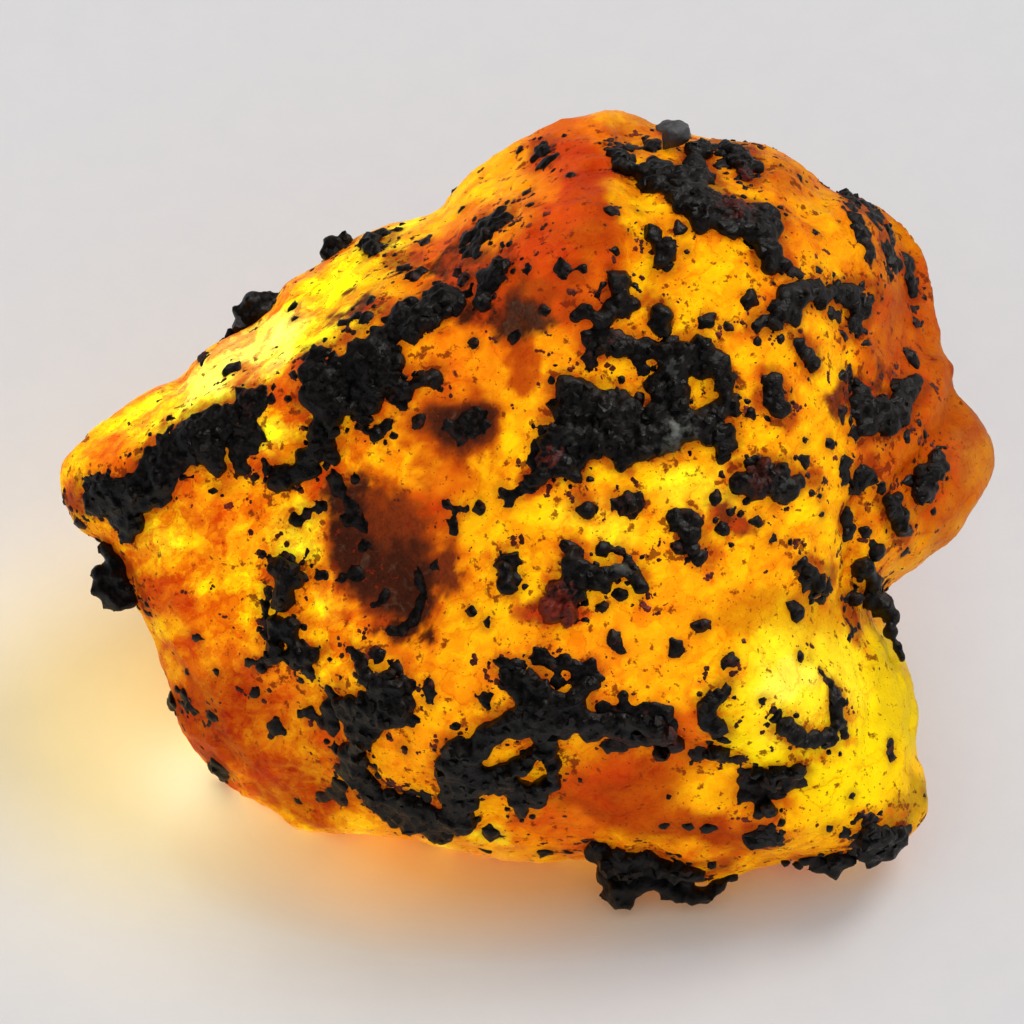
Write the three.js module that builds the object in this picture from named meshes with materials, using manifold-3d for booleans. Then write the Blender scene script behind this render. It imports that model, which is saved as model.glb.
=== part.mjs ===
// A rough sapphire: one honey-yellow corundum pebble with crusts of small black crystals grown on it.
//
// The stone is drawn in the frame of its broad face: a runs right along the face, b runs up along
// it and c points out of it. The face leans back, so that frame is turned into the part's own
// frame, where +Z is up. Everything is in millimetres.
import * as THREE from "three";
import { mergeVertices } from "three/addons/utils/BufferGeometryUtils.js";
import Module from "manifold-3d";

const wasm = await Module();
wasm.setup();

// Driving dimensions.
const FACE_ELEVATION = THREE.MathUtils.degToRad(50); // how far the broad face's normal points up
const BASE_DEPTH = 11; // from the middle of the stone down to the flat break that it rests on
const STONE_DETAIL = 11; // cuts along each edge of the icosahedron that the stone is drawn on
const EDGE_SHARPNESS = 11; // how tightly two neighbouring faces of the stone meet
const EVEN_DEGREES = 16; // how far round the outline its small steps are evened out off the rim
const RIM_START = 0.8; // share of the way out to the outline at which the rim begins
const RIM_END = 0.98; // share at which it follows the outline exactly
const RELIEF_DEPTH = 5; // how far behind the middle the ridges and grooves fade out
const LUMPINESS = 0.022; // height of the soft lumps, as a share of the radius
const CRUST_GAP = 0.15; // clear space between the stone and the crystals on it
const CRUST_STEP = 0.56; // distance between the corners of a crust
const SMALL_STEP = 0.38; // the same on a small crust
const SMALL_CRUST = 0.42; // a crust with no chain wider than this is a small one
const CRUST_RISE = 0.85; // how fast a crust rises from its edge
const CRUST_RIM = 0.25; // how steeply it starts there
const CRUST_JITTER = 0.25; // how much higher or lower than that its crystals stand, as a share
const EDGE_BAND = 0.2; // corners this near to a crust's outline are moved onto it
const ROW_SHARE = Math.sqrt(3) / 2; // distance between the rows of a crust's corners, in steps
const BLOCK = 90; // side of the block that trims the base

// The natural faces of the stone: [a, b, c] of the outward direction, then the distance from the
// middle of the stone.
const faces = [
  [0.05, 0.05, 1, 8.6], // broad front
  [-0.54, 0.73, 0.4, 10.2], // bright strip along the upper left
  [-0.45, -0.05, 0.89, 7.9], // left slope
  [-0.6, -0.55, 0.55, 11.3], // lower left
  [0, -0.78, 0.62, 11.7], // tucked under the front
  [0.45, -0.3, 0.84, 13.8], // right lobe
  [0.8, 0.1, 0.59, 12.9], // right flank
  [0, 0.894, 0.447, 13.4], // hump at the top
  [0.5, 0.8, 0.3, 16.3], // crown
  [0.85, 0.5, -0.1, 19.3], // upper right, behind the shoulder
  [0.97, -0.15, -0.2, 19.4], // right tip
  [0.35, -0.5, -0.79, 12.9], // lower right, behind the lobe
  [0.9, -0.1, 0.42, 16.4], // outside of the lobe
  [0.5, -0.85, 0.15, 19.6], // lower right corner
  [0, -1, -0.05, 14.6], // bottom
  [-0.5, -0.8, 0.3, 15], // bottom left
  [-0.93, -0.3, 0.1, 16.4], // left end
  [-0.5, 0.75, -0.4, 12.6], // upper left, behind
  [0.1, 0.75, -0.65, 14.4], // top, behind
  [-0.05, 0.3, -0.95, 12.2], // back
  [-0.6, 0.1, -0.8, 12.8], // left, behind
  [0.5, 0.2, -0.84, 13.6], // right, behind
  [0, -0.643, -0.766, 12.8], // under the base
];

// The outline of the stone, seen square to its broad face: [a, b], clockwise from the left end.
const outline = [
  [-18.2, 1.3], [-17, 3], [-16, 4], [-13.9, 5.2], [-12, 6.2], [-9.6, 7.8], [-8.8, 8.9], [-7.5, 10],
  [-5.9, 11], [-4.4, 11.5], [-2.9, 12.2], [-2, 13.3], [-0.3, 14.4], [1, 15], [2.5, 15.7], [4.2, 16],
  [6, 15.3], [8, 15], [9, 14.6], [10.6, 14.6], [11.4, 14], [12.7, 13], [14, 12.7], [15.5, 11.4],
  [16.4, 10.2], [16.6, 9], [17.2, 6.8], [17.3, 6], [18.3, 4.2], [19.2, 2.8], [19.2, 1.6], [18.4, 0.3],
  [17.9, -0.9], [16.3, -1.8], [15, -3.4], [14.4, -4], [15.2, -5.4], [15.9, -6.2], [16.2, -8],
  [16.2, -10], [16.6, -12], [15.8, -13.4], [13.5, -13.8], [11, -13.8], [8.2, -14.6], [6, -13.6],
  [3, -13.7], [0.5, -14], [-3.5, -13.2], [-5, -12.7], [-8, -13], [-10, -11.8], [-12, -10.3],
  [-13, -8.6], [-14, -6], [-14.8, -3.9], [-15.6, -2], [-16.9, -0.9], [-17.4, 0.2],
];

// Ridges and grooves of the broad face: a line of [a, b] points, its height and its half-width.
const creases = [
  { line: [[-17, 1], [-12, 3], [-7, 5.6], [-3, 7.4]], height: 0.5, width: 1.1 }, // long ridge
  { line: [[-2.6, 9.6], [0.6, 12.4], [1.6, 14.6]], height: -0.7, width: 1.2 }, // left of the hump
  { line: [[2.2, 8], [2.6, 11], [3, 13.6]], height: 0.7, width: 1.9 }, // the hump's back
  { line: [[-8, -0.4], [-5.4, -2.6], [-3.4, -3.4], [-1.8, 3.6]], height: -0.8, width: 1.9 }, // hollow
  { line: [[14.5, 8.4], [13.4, 5.6], [12.9, 2], [13, -1.4], [13.9, -3.8]], height: -1, width: 0.9 },
  { line: [[6.6, -5.2], [9.6, -4.2], [13.2, -4]], height: -0.6, width: 1 }, // above the lobe
  { line: [[7, -9.6], [10.6, -10.9], [13.4, -11.4]], height: -0.5, width: 1 }, // below the lobe
  { line: [[2.6, -12], [6.6, -12], [10, -12.6]], height: 0.4, width: 0.7 }, // fold under the front
  { line: [[-14.6, -1.4], [-12.4, -4.4], [-11.4, -8]], height: 0.4, width: 1.1 }, // left rib
];

// Right of this edge of the shoulder, the stone steps back to the lobe behind it.
const shoulderEdge = [[12.4, 14.6], [13.4, 12.2], [14.1, 10.4], [14.5, 8.2]];
const SHOULDER_STEP = 2.6;
const SHOULDER_REACH = 4.2; // how far the step carries on past the edge's lower end, fading out

// A side of the stone, from which the places of its crystals are given: two directions to measure
// along, and the direction that points out at the viewer.
const face = {
  right: new THREE.Vector3(1, 0, 0),
  up: new THREE.Vector3(0, Math.sin(FACE_ELEVATION), Math.cos(FACE_ELEVATION)),
  out: new THREE.Vector3(0, -Math.cos(FACE_ELEVATION), Math.sin(FACE_ELEVATION)),
};
const back = {
  right: new THREE.Vector3(-1, 0, 0),
  up: new THREE.Vector3(0, 0, 1),
  out: new THREE.Vector3(0, 1, 0),
};
const leftEnd = {
  right: new THREE.Vector3(0, -1, 0),
  up: new THREE.Vector3(0, 0, 1),
  out: new THREE.Vector3(-1, 0, 0),
};
const rightEnd = {
  right: new THREE.Vector3(0, 1, 0),
  up: new THREE.Vector3(0, 0, 1),
  out: new THREE.Vector3(1, 0, 0),
};

// A side seen along the broad face, square to its rim at an angle round it. Right runs along the
// rim and up runs out of the broad face.
function rim(degrees) {
  const angle = THREE.MathUtils.degToRad(degrees);
  const within = (x, y) => face.right.clone().multiplyScalar(x).addScaledVector(face.up, y);
  return {
    right: within(-Math.sin(angle), Math.cos(angle)),
    up: face.out,
    out: within(Math.cos(angle), Math.sin(angle)),
  };
}

// The crusts: each is one body of crystals grown together. Its chains run over the stone as
// [right, up, radius] on the side that it is seen from.
const crusts = [
  { name: "crust_left_band", side: face, chains: [
    [[-17, 0.7, 0.55], [-16.2, 0.6, 0.7], [-15.2, 0.5, 0.85], [-14.4, 0.9, 0.8], [-13.9, 1.9, 0.75],
      [-13.5, 2.6, 0.7], [-12.6, 3, 0.75], [-11.8, 3.4, 0.65], [-11, 3.5, 0.5], [-10.9, 4.1, 0.4],
      [-10.3, 4.4, 0.5], [-9.9, 4.6, 0.35]],
    [[-15.2, 0.5, 0.8], [-15.3, -0.5, 0.55]],
    [[-13.9, 1.9, 0.7], [-13.3, 1.7, 0.45]],
    [[-12.4, 2.8, 0.6], [-11.9, 2, 0.4], [-11.4, 1.8, 0.5], [-11.5, 1.3, 0.35]],
  ] },
  { name: "crust_ridge", side: face, chains: [
    [[-9.8, 1.8, 0.4], [-9.2, 1.5, 0.5], [-8.6, 1.7, 0.6], [-8.1, 2.3, 0.6], [-7.6, 2.9, 0.65],
      [-7.3, 3.7, 0.6], [-7.3, 4.5, 0.75], [-7.6, 5.3, 0.65], [-7.7, 5.9, 0.4], [-7, 6.1, 0.35],
      [-6.1, 6.3, 0.5], [-5.5, 6.8, 0.5], [-4.7, 7.4, 0.55], [-3.9, 7.5, 0.65], [-3.2, 7.9, 0.75],
      [-2.4, 8.4, 0.7]],
    [[-7.3, 4.5, 0.75], [-8.3, 4.3, 0.35]],
    [[-7.2, 3.9, 0.6], [-6.3, 4.3, 0.55], [-5.7, 4.9, 0.7], [-5, 5.8, 0.75], [-5.4, 6.7, 0.55]],
    [[-5.7, 4.9, 0.6], [-5, 5, 0.45], [-4.3, 5.1, 0.35], [-3.6, 5.3, 0.35], [-3, 5.6, 0.3]],
    [[-6.1, 4.3, 0.45], [-5.5, 3.6, 0.45], [-5.4, 3, 0.35]],
    [[-7.6, 2.7, 0.6], [-7, 2.3, 0.35]],
  ] },
  { name: "crust_ridge_bead", side: face, chains: [
    [[-1.1, 8.4, 0.4], [-1, 9, 0.4], [-0.6, 9.5, 0.4], [-0.2, 9.8, 0.35]],
  ] },
  { name: "crust_upper_sliver", side: face, chains: [
    [[-1.8, 10.3, 0.25], [-1.3, 10.7, 0.35], [-0.8, 11.1, 0.45], [-0.2, 11.4, 0.4], [0.1, 11.7, 0.25]],
  ] },
  { name: "crust_upper_patch", side: face, chains: [
    [[-4.7, 9.9, 0.3], [-4.2, 9.6, 0.42], [-3.8, 9.6, 0.4]],
  ] },
  { name: "crust_crown", side: face, chains: [
    [[4.3, 14.6, 0.42], [4.6, 14, 0.45], [5.1, 13.6, 0.45], [5.8, 13.3, 0.55], [6.6, 13.3, 0.65],
      [7.4, 13.2, 0.75], [7.5, 12.4, 0.8], [8, 11.8, 0.75], [8.8, 11.6, 0.7], [9.6, 11.6, 0.7],
      [10.2, 11.4, 0.7], [10.2, 10.7, 0.65], [10.2, 10, 0.6], [11.1, 9.8, 0.38]],
    [[6.6, 13.3, 0.6], [6.8, 12.4, 0.65]],
    [[7.2, 13.4, 0.6], [7.4, 14.1, 0.45], [8.2, 14.4, 0.5], [9, 14.3, 0.45], [9.5, 13.9, 0.45],
      [9.5, 13.3, 0.4]],
  ] },
  { name: "crust_shoulder", side: face, chains: [
    [[9.5, 7.4, 0.3], [10.2, 7.5, 0.42], [10.9, 7.9, 0.5], [11.1, 8.6, 0.5], [11.9, 8.7, 0.45],
      [12.6, 8.5, 0.45], [13.3, 8.6, 0.6], [13.9, 8.7, 0.45]],
    [[13.3, 8.4, 0.6], [13.6, 7.7, 0.42], [13.2, 7.1, 0.3]],
  ] },
  { name: "crust_shoulder_tail", side: face, chains: [
    [[11.2, 6.8, 0.28], [11.7, 6.3, 0.34], [11.8, 5.7, 0.22]],
  ] },
  { name: "crust_behind_shoulder", side: face, chains: [
    [[13.5, 12.4, 0.35], [13.9, 12, 0.4], [14.2, 11.5, 0.4], [14.5, 11, 0.38], [14.5, 10.4, 0.38]],
  ] },
  { name: "crust_right_rim", side: face, chains: [
    [[15.6, 9.9, 0.3], [15.8, 9.3, 0.26], [16, 8.7, 0.22]],
  ] },
  { name: "crust_centre", side: face, chains: [
    [[3.2, 6.6, 0.4], [4, 6.6, 0.4], [4.8, 6.6, 0.42], [5.6, 6.3, 0.5], [6.4, 6.3, 0.6],
      [7.3, 6.4, 0.65], [7.9, 5.8, 0.5], [8.3, 5.1, 0.5], [8.4, 4.3, 0.55], [8.3, 3.5, 0.6],
      [8.4, 2.7, 0.5]],
    [[6.2, 6, 0.65], [6.2, 5.1, 0.8], [6, 4.1, 0.8], [5.1, 4.1, 0.75], [4.2, 3.9, 0.7],
      [3.4, 4.3, 0.6], [2.6, 4.7, 0.65], [2, 5, 0.5]],
    [[8.3, 3.5, 0.6], [7.4, 3.5, 0.65], [6.5, 3.1, 0.7], [5.5, 3, 0.8], [4.4, 2.6, 0.8],
      [3.4, 2.8, 0.8], [2.4, 3.4, 0.8], [1.6, 3.2, 0.6], [1.9, 2.5, 0.55], [2.1, 1.8, 0.5],
      [2.6, 1.4, 0.4]],
    [[4.4, 2.8, 0.7], [4.4, 2.1, 0.5]],
    [[2.4, 3.4, 0.75], [2.2, 4.3, 0.6]],
    [[2.1, 1.8, 0.5], [1.2, 1.7, 0.42], [0.7, 1.2, 0.35]],
    [[3.4, 4.3, 0.5], [3.8, 5.1, 0.33]],
  ] },
  { name: "crust_above_centre", side: face, chains: [
    [[2.4, 8, 0.38], [2.9, 7.8, 0.38], [3.5, 7.6, 0.33], [4, 7.9, 0.42], [4.1, 8.6, 0.5],
      [4.2, 9.4, 0.5]],
    [[4.1, 8.5, 0.45], [4.7, 8.5, 0.33], [5.3, 8.6, 0.28]],
  ] },
  { name: "crust_above_centre_right", side: face, chains: [
    [[5.8, 8, 0.38], [5.9, 7.5, 0.35]],
  ] },
  { name: "crust_upper_strip", side: face, chains: [
    [[5.4, 11.2, 0.25], [5.9, 10.9, 0.33], [6, 10.4, 0.3], [5.8, 10, 0.25]],
  ] },
  { name: "crust_cluster_right", side: face, chains: [
    [[10.1, 5.5, 0.22], [10.4, 5, 0.28], [10.6, 4.5, 0.35], [10.4, 4, 0.32], [10.8, 3.7, 0.3]],
    [[10.5, 4.4, 0.32], [9.9, 4.5, 0.35]],
  ] },
  { name: "crust_right", side: face, chains: [
    [[13.8, 4.9, 0.38], [14.1, 4.3, 0.4], [14.8, 4.1, 0.4], [15.4, 4.3, 0.5], [15.9, 4.9, 0.52]],
    [[15.4, 4.3, 0.5], [15.4, 3.7, 0.42], [14.7, 3.4, 0.42], [14, 3.1, 0.48]],
    [[14.1, 4.3, 0.4], [13.4, 4, 0.33]],
  ] },
  { name: "crust_right_low", side: face, chains: [
    [[14.1, 2, 0.28], [13.8, 1.5, 0.45], [13.3, 1.4, 0.42]],
    [[13.7, 1.4, 0.42], [13.5, 0.8, 0.28]],
  ] },
  { name: "crust_right_spot", side: face, chains: [[[13.4, -0.1, 0.4], [13.2, -0.6, 0.22]]] },
  { name: "crust_right_mid", side: face, chains: [
    [[14.8, 0.7, 0.38], [15.2, 0.3, 0.42], [15.3, -0.3, 0.4], [15.6, -0.7, 0.35]],
  ] },
  { name: "crust_right_tip", side: face, chains: [
    [[17.1, 2.1, 0.45], [17, 1.5, 0.5], [16.4, 1.2, 0.5], [16.5, 0.5, 0.42]],
  ] },
  { name: "crust_mid_right", side: face, chains: [
    [[8.9, 1.7, 0.28], [9.5, 1.5, 0.48], [10.1, 1.7, 0.48], [10.7, 1.7, 0.42], [10.9, 1, 0.35],
      [11.6, 1.3, 0.38]],
    [[9.5, 1.4, 0.45], [10, 1, 0.45], [10.3, 0.5, 0.25]],
    [[9.4, 1.2, 0.4], [8.8, 0.8, 0.3]],
  ] },
  { name: "crust_mid_low", side: face, chains: [
    [[6.8, -0.4, 0.42], [7.3, -0.5, 0.33]],
    [[6.9, -0.5, 0.38], [7, -1.2, 0.42], [7.5, -1.6, 0.4], [8, -1.9, 0.24]],
  ] },
  { name: "crust_mid_low_bead", side: face, chains: [[[8.2, -0.4, 0.26], [8.4, -0.7, 0.24]]] },
  { name: "crust_heart", side: face, chains: [
    [[2.4, -1.4, 0.38], [2.4, -2.1, 0.48], [2.7, -2.7, 0.52], [3.4, -2.6, 0.55], [3.9, -2, 0.48],
      [4.4, -2.3, 0.48], [4.9, -2.6, 0.35], [4.9, -3.1, 0.35]],
    [[2.7, -2.9, 0.55], [1.9, -3, 0.52], [1.3, -3.6, 0.45], [1.9, -3.9, 0.45], [2.6, -3.5, 0.45]],
  ] },
  { name: "crust_centre_left_drop", side: face, chains: [[[2.7, 0.4, 0.32], [2.9, 0, 0.22]]] },
  { name: "crust_centre_right_drop", side: face, chains: [[[4.3, 0.4, 0.36], [4.8, 0.4, 0.36]]] },
  { name: "crust_centre_comma", side: face, chains: [
    [[-0.1, -1.6, 0.25], [-0.4, -2, 0.3], [0, -2.6, 0.36], [0, -3, 0.28]],
  ] },
  { name: "crust_left_column", side: face, chains: [
    [[-9.4, -1.9, 0.38], [-8.6, -1.9, 0.38]],
    [[-9, -2, 0.4], [-9, -2.6, 0.6], [-9.2, -3.4, 0.55], [-9.4, -4.3, 0.52], [-9.5, -5.1, 0.48],
      [-9.5, -5.8, 0.4], [-10.2, -6, 0.28]],
    [[-9.2, -4.2, 0.5], [-8.7, -4.4, 0.36]],
    [[-9.4, -5.4, 0.4], [-8.8, -5.6, 0.34], [-8.2, -5.5, 0.34], [-7.6, -5.4, 0.26]],
  ] },
  { name: "crust_lower", side: face, chains: [
    [[-5.9, -5.7, 0.4], [-5.6, -6.3, 0.52], [-4.9, -6.8, 0.65], [-4.6, -7.7, 0.65],
      [-5.4, -8, 0.7], [-6.3, -7.8, 0.65], [-6.9, -7.3, 0.48]],
    [[-6, -8, 0.7], [-6.4, -8.8, 0.72], [-6.5, -9.7, 0.6], [-6.1, -10.5, 0.55], [-5.6, -11.1, 0.5],
      [-4.8, -11.5, 0.55], [-3.9, -12, 0.7], [-3, -12.4, 0.6], [-2.1, -12, 0.65], [-2, -11.1, 0.65],
      [-2.3, -10.3, 0.7], [-2.1, -9.5, 0.75], [-1.3, -9, 0.65], [-0.6, -8.4, 0.65], [0.3, -8.1, 0.7],
      [1, -7.6, 0.6], [1.2, -6.8, 0.55], [0.9, -6.1, 0.48]],
    [[1, -6.7, 0.48], [0.1, -6.6, 0.36], [-0.4, -6.1, 0.3]],
    [[1.2, -7.1, 0.5], [2, -7.1, 0.45], [2.8, -7, 0.38], [3.1, -6.4, 0.42]],
    [[1, -7.9, 0.65], [2, -8.1, 0.65], [3, -8.4, 0.75], [4, -8.6, 0.8], [5, -8.6, 0.75],
      [5.8, -8.4, 0.6], [6.1, -8.9, 0.5], [6.4, -9.5, 0.38]],
    [[1, -8.6, 0.5], [1.5, -9.4, 0.52], [1.6, -10.1, 0.55], [0.7, -10.3, 0.7], [-0.1, -10.5, 0.6]],
    [[-2, -11.3, 0.6], [-1.2, -10.7, 0.5], [-0.4, -10.7, 0.45]],
    [[0.7, -10.3, 0.6], [1.1, -10.9, 0.48], [0.5, -11.4, 0.45], [0.3, -12, 0.35]],
  ] },
  { name: "crust_low_left_high", side: face, chains: [[[-13, -7.5, 0.42]]] },
  { name: "crust_low_left_rim", side: face, chains: [[[-12, -9.8, 0.3], [-11.5, -10.2, 0.36]]] },
  { name: "crust_right_strip", side: face, chains: [
    [[11.5, -2, 0.25], [11.8, -2.4, 0.34], [12.2, -2.5, 0.34]],
    [[11.8, -2.4, 0.3], [11.9, -3, 0.25]],
  ] },
  { name: "crust_lobe_hook", side: face, chains: [
    [[8.5, -6.8, 0.22], [8.1, -7.1, 0.26], [7.7, -7.5, 0.3], [7.8, -8.1, 0.34], [8.3, -8.6, 0.38]],
  ] },
  { name: "crust_lobe_ring", side: face, chains: [
    [[10.6, -8.4, 0.33], [11.2, -8.8, 0.34], [11.9, -9.1, 0.32], [12.6, -9.2, 0.3],
      [13, -8.8, 0.34], [12.9, -8.2, 0.33], [12.8, -7.6, 0.3], [12.7, -7.1, 0.28]],
  ] },
  { name: "crust_lobe_cluster", side: face, chains: [
    [[9.5, -10.3, 0.4], [10.2, -10.4, 0.42], [10.9, -10.5, 0.42], [11.4, -10.1, 0.38]],
    [[10.1, -10.5, 0.4], [9.9, -11.2, 0.45], [10.4, -11.7, 0.35]],
  ] },
  { name: "crust_lobe_bar", side: face, chains: [
    [[7.2, -9.7, 0.33], [7.8, -9.7, 0.34], [8.4, -9.8, 0.28]],
  ] },
  { name: "crust_lobe_spot", side: face, chains: [[[9.6, -12.7, 0.38], [10.2, -12.7, 0.4]]] },
  { name: "crust_bottom_right", side: face, chains: [
    [[15.6, -13, 0.4], [15, -12.9, 0.55], [14.3, -12.6, 0.55], [14.2, -13.2, 0.5]],
  ] },
  { name: "crust_notch", side: face, chains: [
    [[13.6, -1.9, 0.26], [13.8, -2.4, 0.38], [14.1, -2.9, 0.38], [14.4, -3.4, 0.36]],
  ] },
  { name: "crust_rim_top", side: face, chains: [
    [[-5.5, 10.5, 0.38], [-5, 10.8, 0.3]],
  ] },
  { name: "crust_hump_top", side: face, chains: [[[1.3, 14.2, 0.36], [1.7, 14.4, 0.22]]] },
  { name: "crust_rim_knob", side: rim(127), rise: 1.3, chains: [
    [[4.6, -2.6, 0.45], [4, -2.6, 0.5], [3.4, -2.6, 0.8], [2.7, -2.6, 0.55]],
  ] },
  { name: "crust_rim_upper", side: rim(127), chains: [[[-0.3, -2.6, 0.45], [-1.3, -2.8, 0.35]]] },
  { name: "crust_rim_left", side: rim(200), rise: 1.3, chains: [
    [[-4.3, -1, 0.4], [-3.5, -1, 0.65], [-2.7, -0.8, 0.75], [-2, -0.6, 0.5]],
  ] },
  { name: "crust_crown_tip", side: rim(67), rise: 1.3, chains: [[[0, -1, 0.5]]] },
  { name: "crust_hanging", side: rim(270), rise: 1.8, chains: [
    [[3.5, 0.8, 0.55], [4.3, 0.4, 0.95], [5.2, 0.6, 0.75], [6.2, 0.6, 0.8], [7.1, 0.8, 0.6],
      [8, 1, 0.4], [8.6, 1.1, 0.3]],
  ] },
  { name: "crust_bottom_right_low", side: rim(270), rise: 1.2, chains: [
    [[13.4, 0.6, 0.4], [12.7, 0.5, 0.55], [12, 0.6, 0.35], [11.3, 0.8, 0.25]],
  ] },
  { name: "crust_notch_low", side: rim(-18), rise: 1.2, chains: [
    [[0.9, 2, 0.5], [0.2, 2, 0.42], [-0.5, 2.2, 0.26]],
  ] },
  { name: "crust_back_upper", side: back, chains: [
    [[-8, 6.2, 0.5], [-7, 5.6, 0.8], [-6, 5.4, 0.9], [-5.2, 4.6, 0.8], [-4.3, 4.4, 0.5]],
    [[-6, 5.4, 0.8], [-5.7, 6.6, 0.5]],
  ] },
  { name: "crust_back_middle", side: back, chains: [
    [[-1, 1.4, 0.5], [0.2, 0.8, 0.9], [1.4, 0.9, 1], [2.4, 0, 0.8], [2.6, -1.2, 0.6], [3.4, -1.9, 0.4]],
    [[1.4, 0.9, 0.9], [1.6, 2.2, 0.6]],
  ] },
  { name: "crust_back_low", side: back, chains: [
    [[-9.6, -3.2, 0.5], [-8.6, -3.6, 0.8], [-7.4, -3.8, 0.7], [-6.4, -4.6, 0.6]],
  ] },
  { name: "crust_back_left", side: back, chains: [
    [[8.6, -1, 0.5], [9.4, -0.2, 0.8], [10.4, 0.2, 0.7], [10.8, -0.9, 0.5]],
  ] },
  { name: "crust_back_right", side: back, chains: [
    [[-13.4, 1.8, 0.5], [-12.6, 0.8, 0.8], [-12.4, -0.4, 0.6]],
  ] },
  { name: "crust_back_top", side: back, chains: [[[1.8, 5, 0.45], [2.6, 4.3, 0.6], [3.6, 4.2, 0.4]]] },
  { name: "crust_left_end", side: leftEnd, chains: [
    [[-3.6, -3.4, 0.5], [-2.8, -4.2, 0.7], [-1.8, -4.4, 0.5]],
  ] },
  { name: "crust_right_end", side: rightEnd, chains: [
    [[-0.4, -6, 0.5], [0.6, -6.4, 0.7], [1.8, -6, 0.6], [2.4, -5, 0.4]],
  ] },
];

// A closed three.js geometry as a solid, with its shared corners merged.
function solidFrom(geometry) {
  geometry.deleteAttribute("normal");
  geometry.deleteAttribute("uv");
  const merged = mergeVertices(geometry, 1e-4);
  return new wasm.Manifold(new wasm.Mesh({
    numProp: 3,
    vertProperties: new Float32Array(merged.attributes.position.array),
    triVerts: new Uint32Array(merged.index.array),
  }));
}

// A solid as a three.js geometry.
function geometryFrom(solid) {
  const mesh = solid.getMesh();
  const geometry = new THREE.BufferGeometry();
  geometry.setAttribute("position", new THREE.BufferAttribute(mesh.vertProperties, 3));
  geometry.setIndex(new THREE.BufferAttribute(mesh.triVerts, 1));
  geometry.computeVertexNormals();
  return geometry;
}

// Where a line from the middle of the stone leaves its natural faces, rounded where they meet.
function faceDistance(direction) {
  let sum = 0;
  for (const [a, b, c, distance] of faces) {
    const length = Math.hypot(a, b, c);
    const share = (direction.x * a + direction.y * b + direction.z * c) / (length * distance);
    if (share > 0) sum += share ** EDGE_SHARPNESS;
  }
  return sum ** (-1 / EDGE_SHARPNESS);
}

// Soft lumps, from waves that cross at odd angles.
function lumps(direction) {
  const { x, y, z } = direction;
  const broad = Math.sin(5.1 * x + 2.3 * y - 1.7) * Math.sin(4.3 * y - 3.1 * z + 0.6);
  const fine = Math.sin(11 * x - 6 * z + 1.1) * Math.sin(9 * y + 7 * z - 0.4);
  return 1 + LUMPINESS * (broad + 0.6 * fine);
}

function stonePoint(direction) {
  return direction.clone().multiplyScalar(faceDistance(direction) * lumps(direction));
}

// How far the stone reaches from its middle at one angle round its outline, before it is trued up.
function plainReach(angle) {
  const STEPS = 60;
  let reach = 0;
  for (let i = 1; i < STEPS; i++) {
    const tilt = Math.PI * (i / STEPS - 0.5);
    const direction = new THREE.Vector3(
      Math.cos(tilt) * Math.cos(angle),
      Math.cos(tilt) * Math.sin(angle),
      Math.sin(tilt),
    );
    const point = stonePoint(direction);
    reach = Math.max(reach, Math.hypot(point.x, point.y));
  }
  return reach;
}

// How far the outline is from the middle of the stone at one angle.
function outlineReach(angle) {
  const x = Math.cos(angle);
  const y = Math.sin(angle);
  let reach = 0;
  outline.forEach(([ax, ay], i) => {
    const [bx, by] = outline[(i + 1) % outline.length];
    const across = (bx - ax) * y - (by - ay) * x;
    const along = (ay * x - ax * y) / across;
    const distance = (ay * (bx - ax) - ax * (by - ay)) / across;
    if (along >= 0 && along <= 1 && distance > reach) reach = distance;
  });
  return reach;
}

// The nearest place on a line of [a, b] points: how far off it is, and on which side.
function nearest(line, a, b) {
  let best = { distance: Infinity, right: false };
  for (let i = 0; i + 1 < line.length; i++) {
    const [ax, ay] = line[i];
    const [bx, by] = line[i + 1];
    const free = ((a - ax) * (bx - ax) + (b - ay) * (by - ay)) / ((bx - ax) ** 2 + (by - ay) ** 2);
    const t = THREE.MathUtils.clamp(free, 0, 1);
    const distance = Math.hypot(a - ax - t * (bx - ax), b - ay - t * (by - ay));
    if (distance < best.distance) {
      const right = (bx - ax) * (b - ay) - (by - ay) * (a - ax) > 0;
      best = { distance, right };
    }
  }
  return best;
}

// How much the ridges, the grooves and the shoulder's step move the broad face in or out.
function relief(a, b) {
  let height = 0;
  for (const crease of creases) {
    const { distance } = nearest(crease.line, a, b);
    height += crease.height * Math.exp(-((distance / crease.width) ** 2));
  }
  const edge = nearest(shoulderEdge, a, b);
  const lowEnd = shoulderEdge[shoulderEdge.length - 1][1];
  const fade = THREE.MathUtils.smoothstep(b, lowEnd - SHOULDER_REACH, lowEnd + 1);
  const step = edge.right ? THREE.MathUtils.smoothstep(edge.distance, -0.1, 0.9) : 0;
  return height - SHOULDER_STEP * step * fade;
}

// What the stone is scaled by, sideways, to meet its outline at each degree round it: exact, for
// the rim, and evened out, for the faces in front of the rim and behind it.
function outlineScales() {
  const exact = [];
  for (let degree = 0; degree < 360; degree++) {
    const angle = THREE.MathUtils.degToRad(degree);
    exact.push(outlineReach(angle) / plainReach(angle));
  }
  const even = exact.map((_, degree) => {
    let sum = 0;
    for (let k = -EVEN_DEGREES; k <= EVEN_DEGREES; k++) sum += exact[(degree + k + 360) % 360];
    return sum / (2 * EVEN_DEGREES + 1);
  });
  return { exact, even };
}

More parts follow.
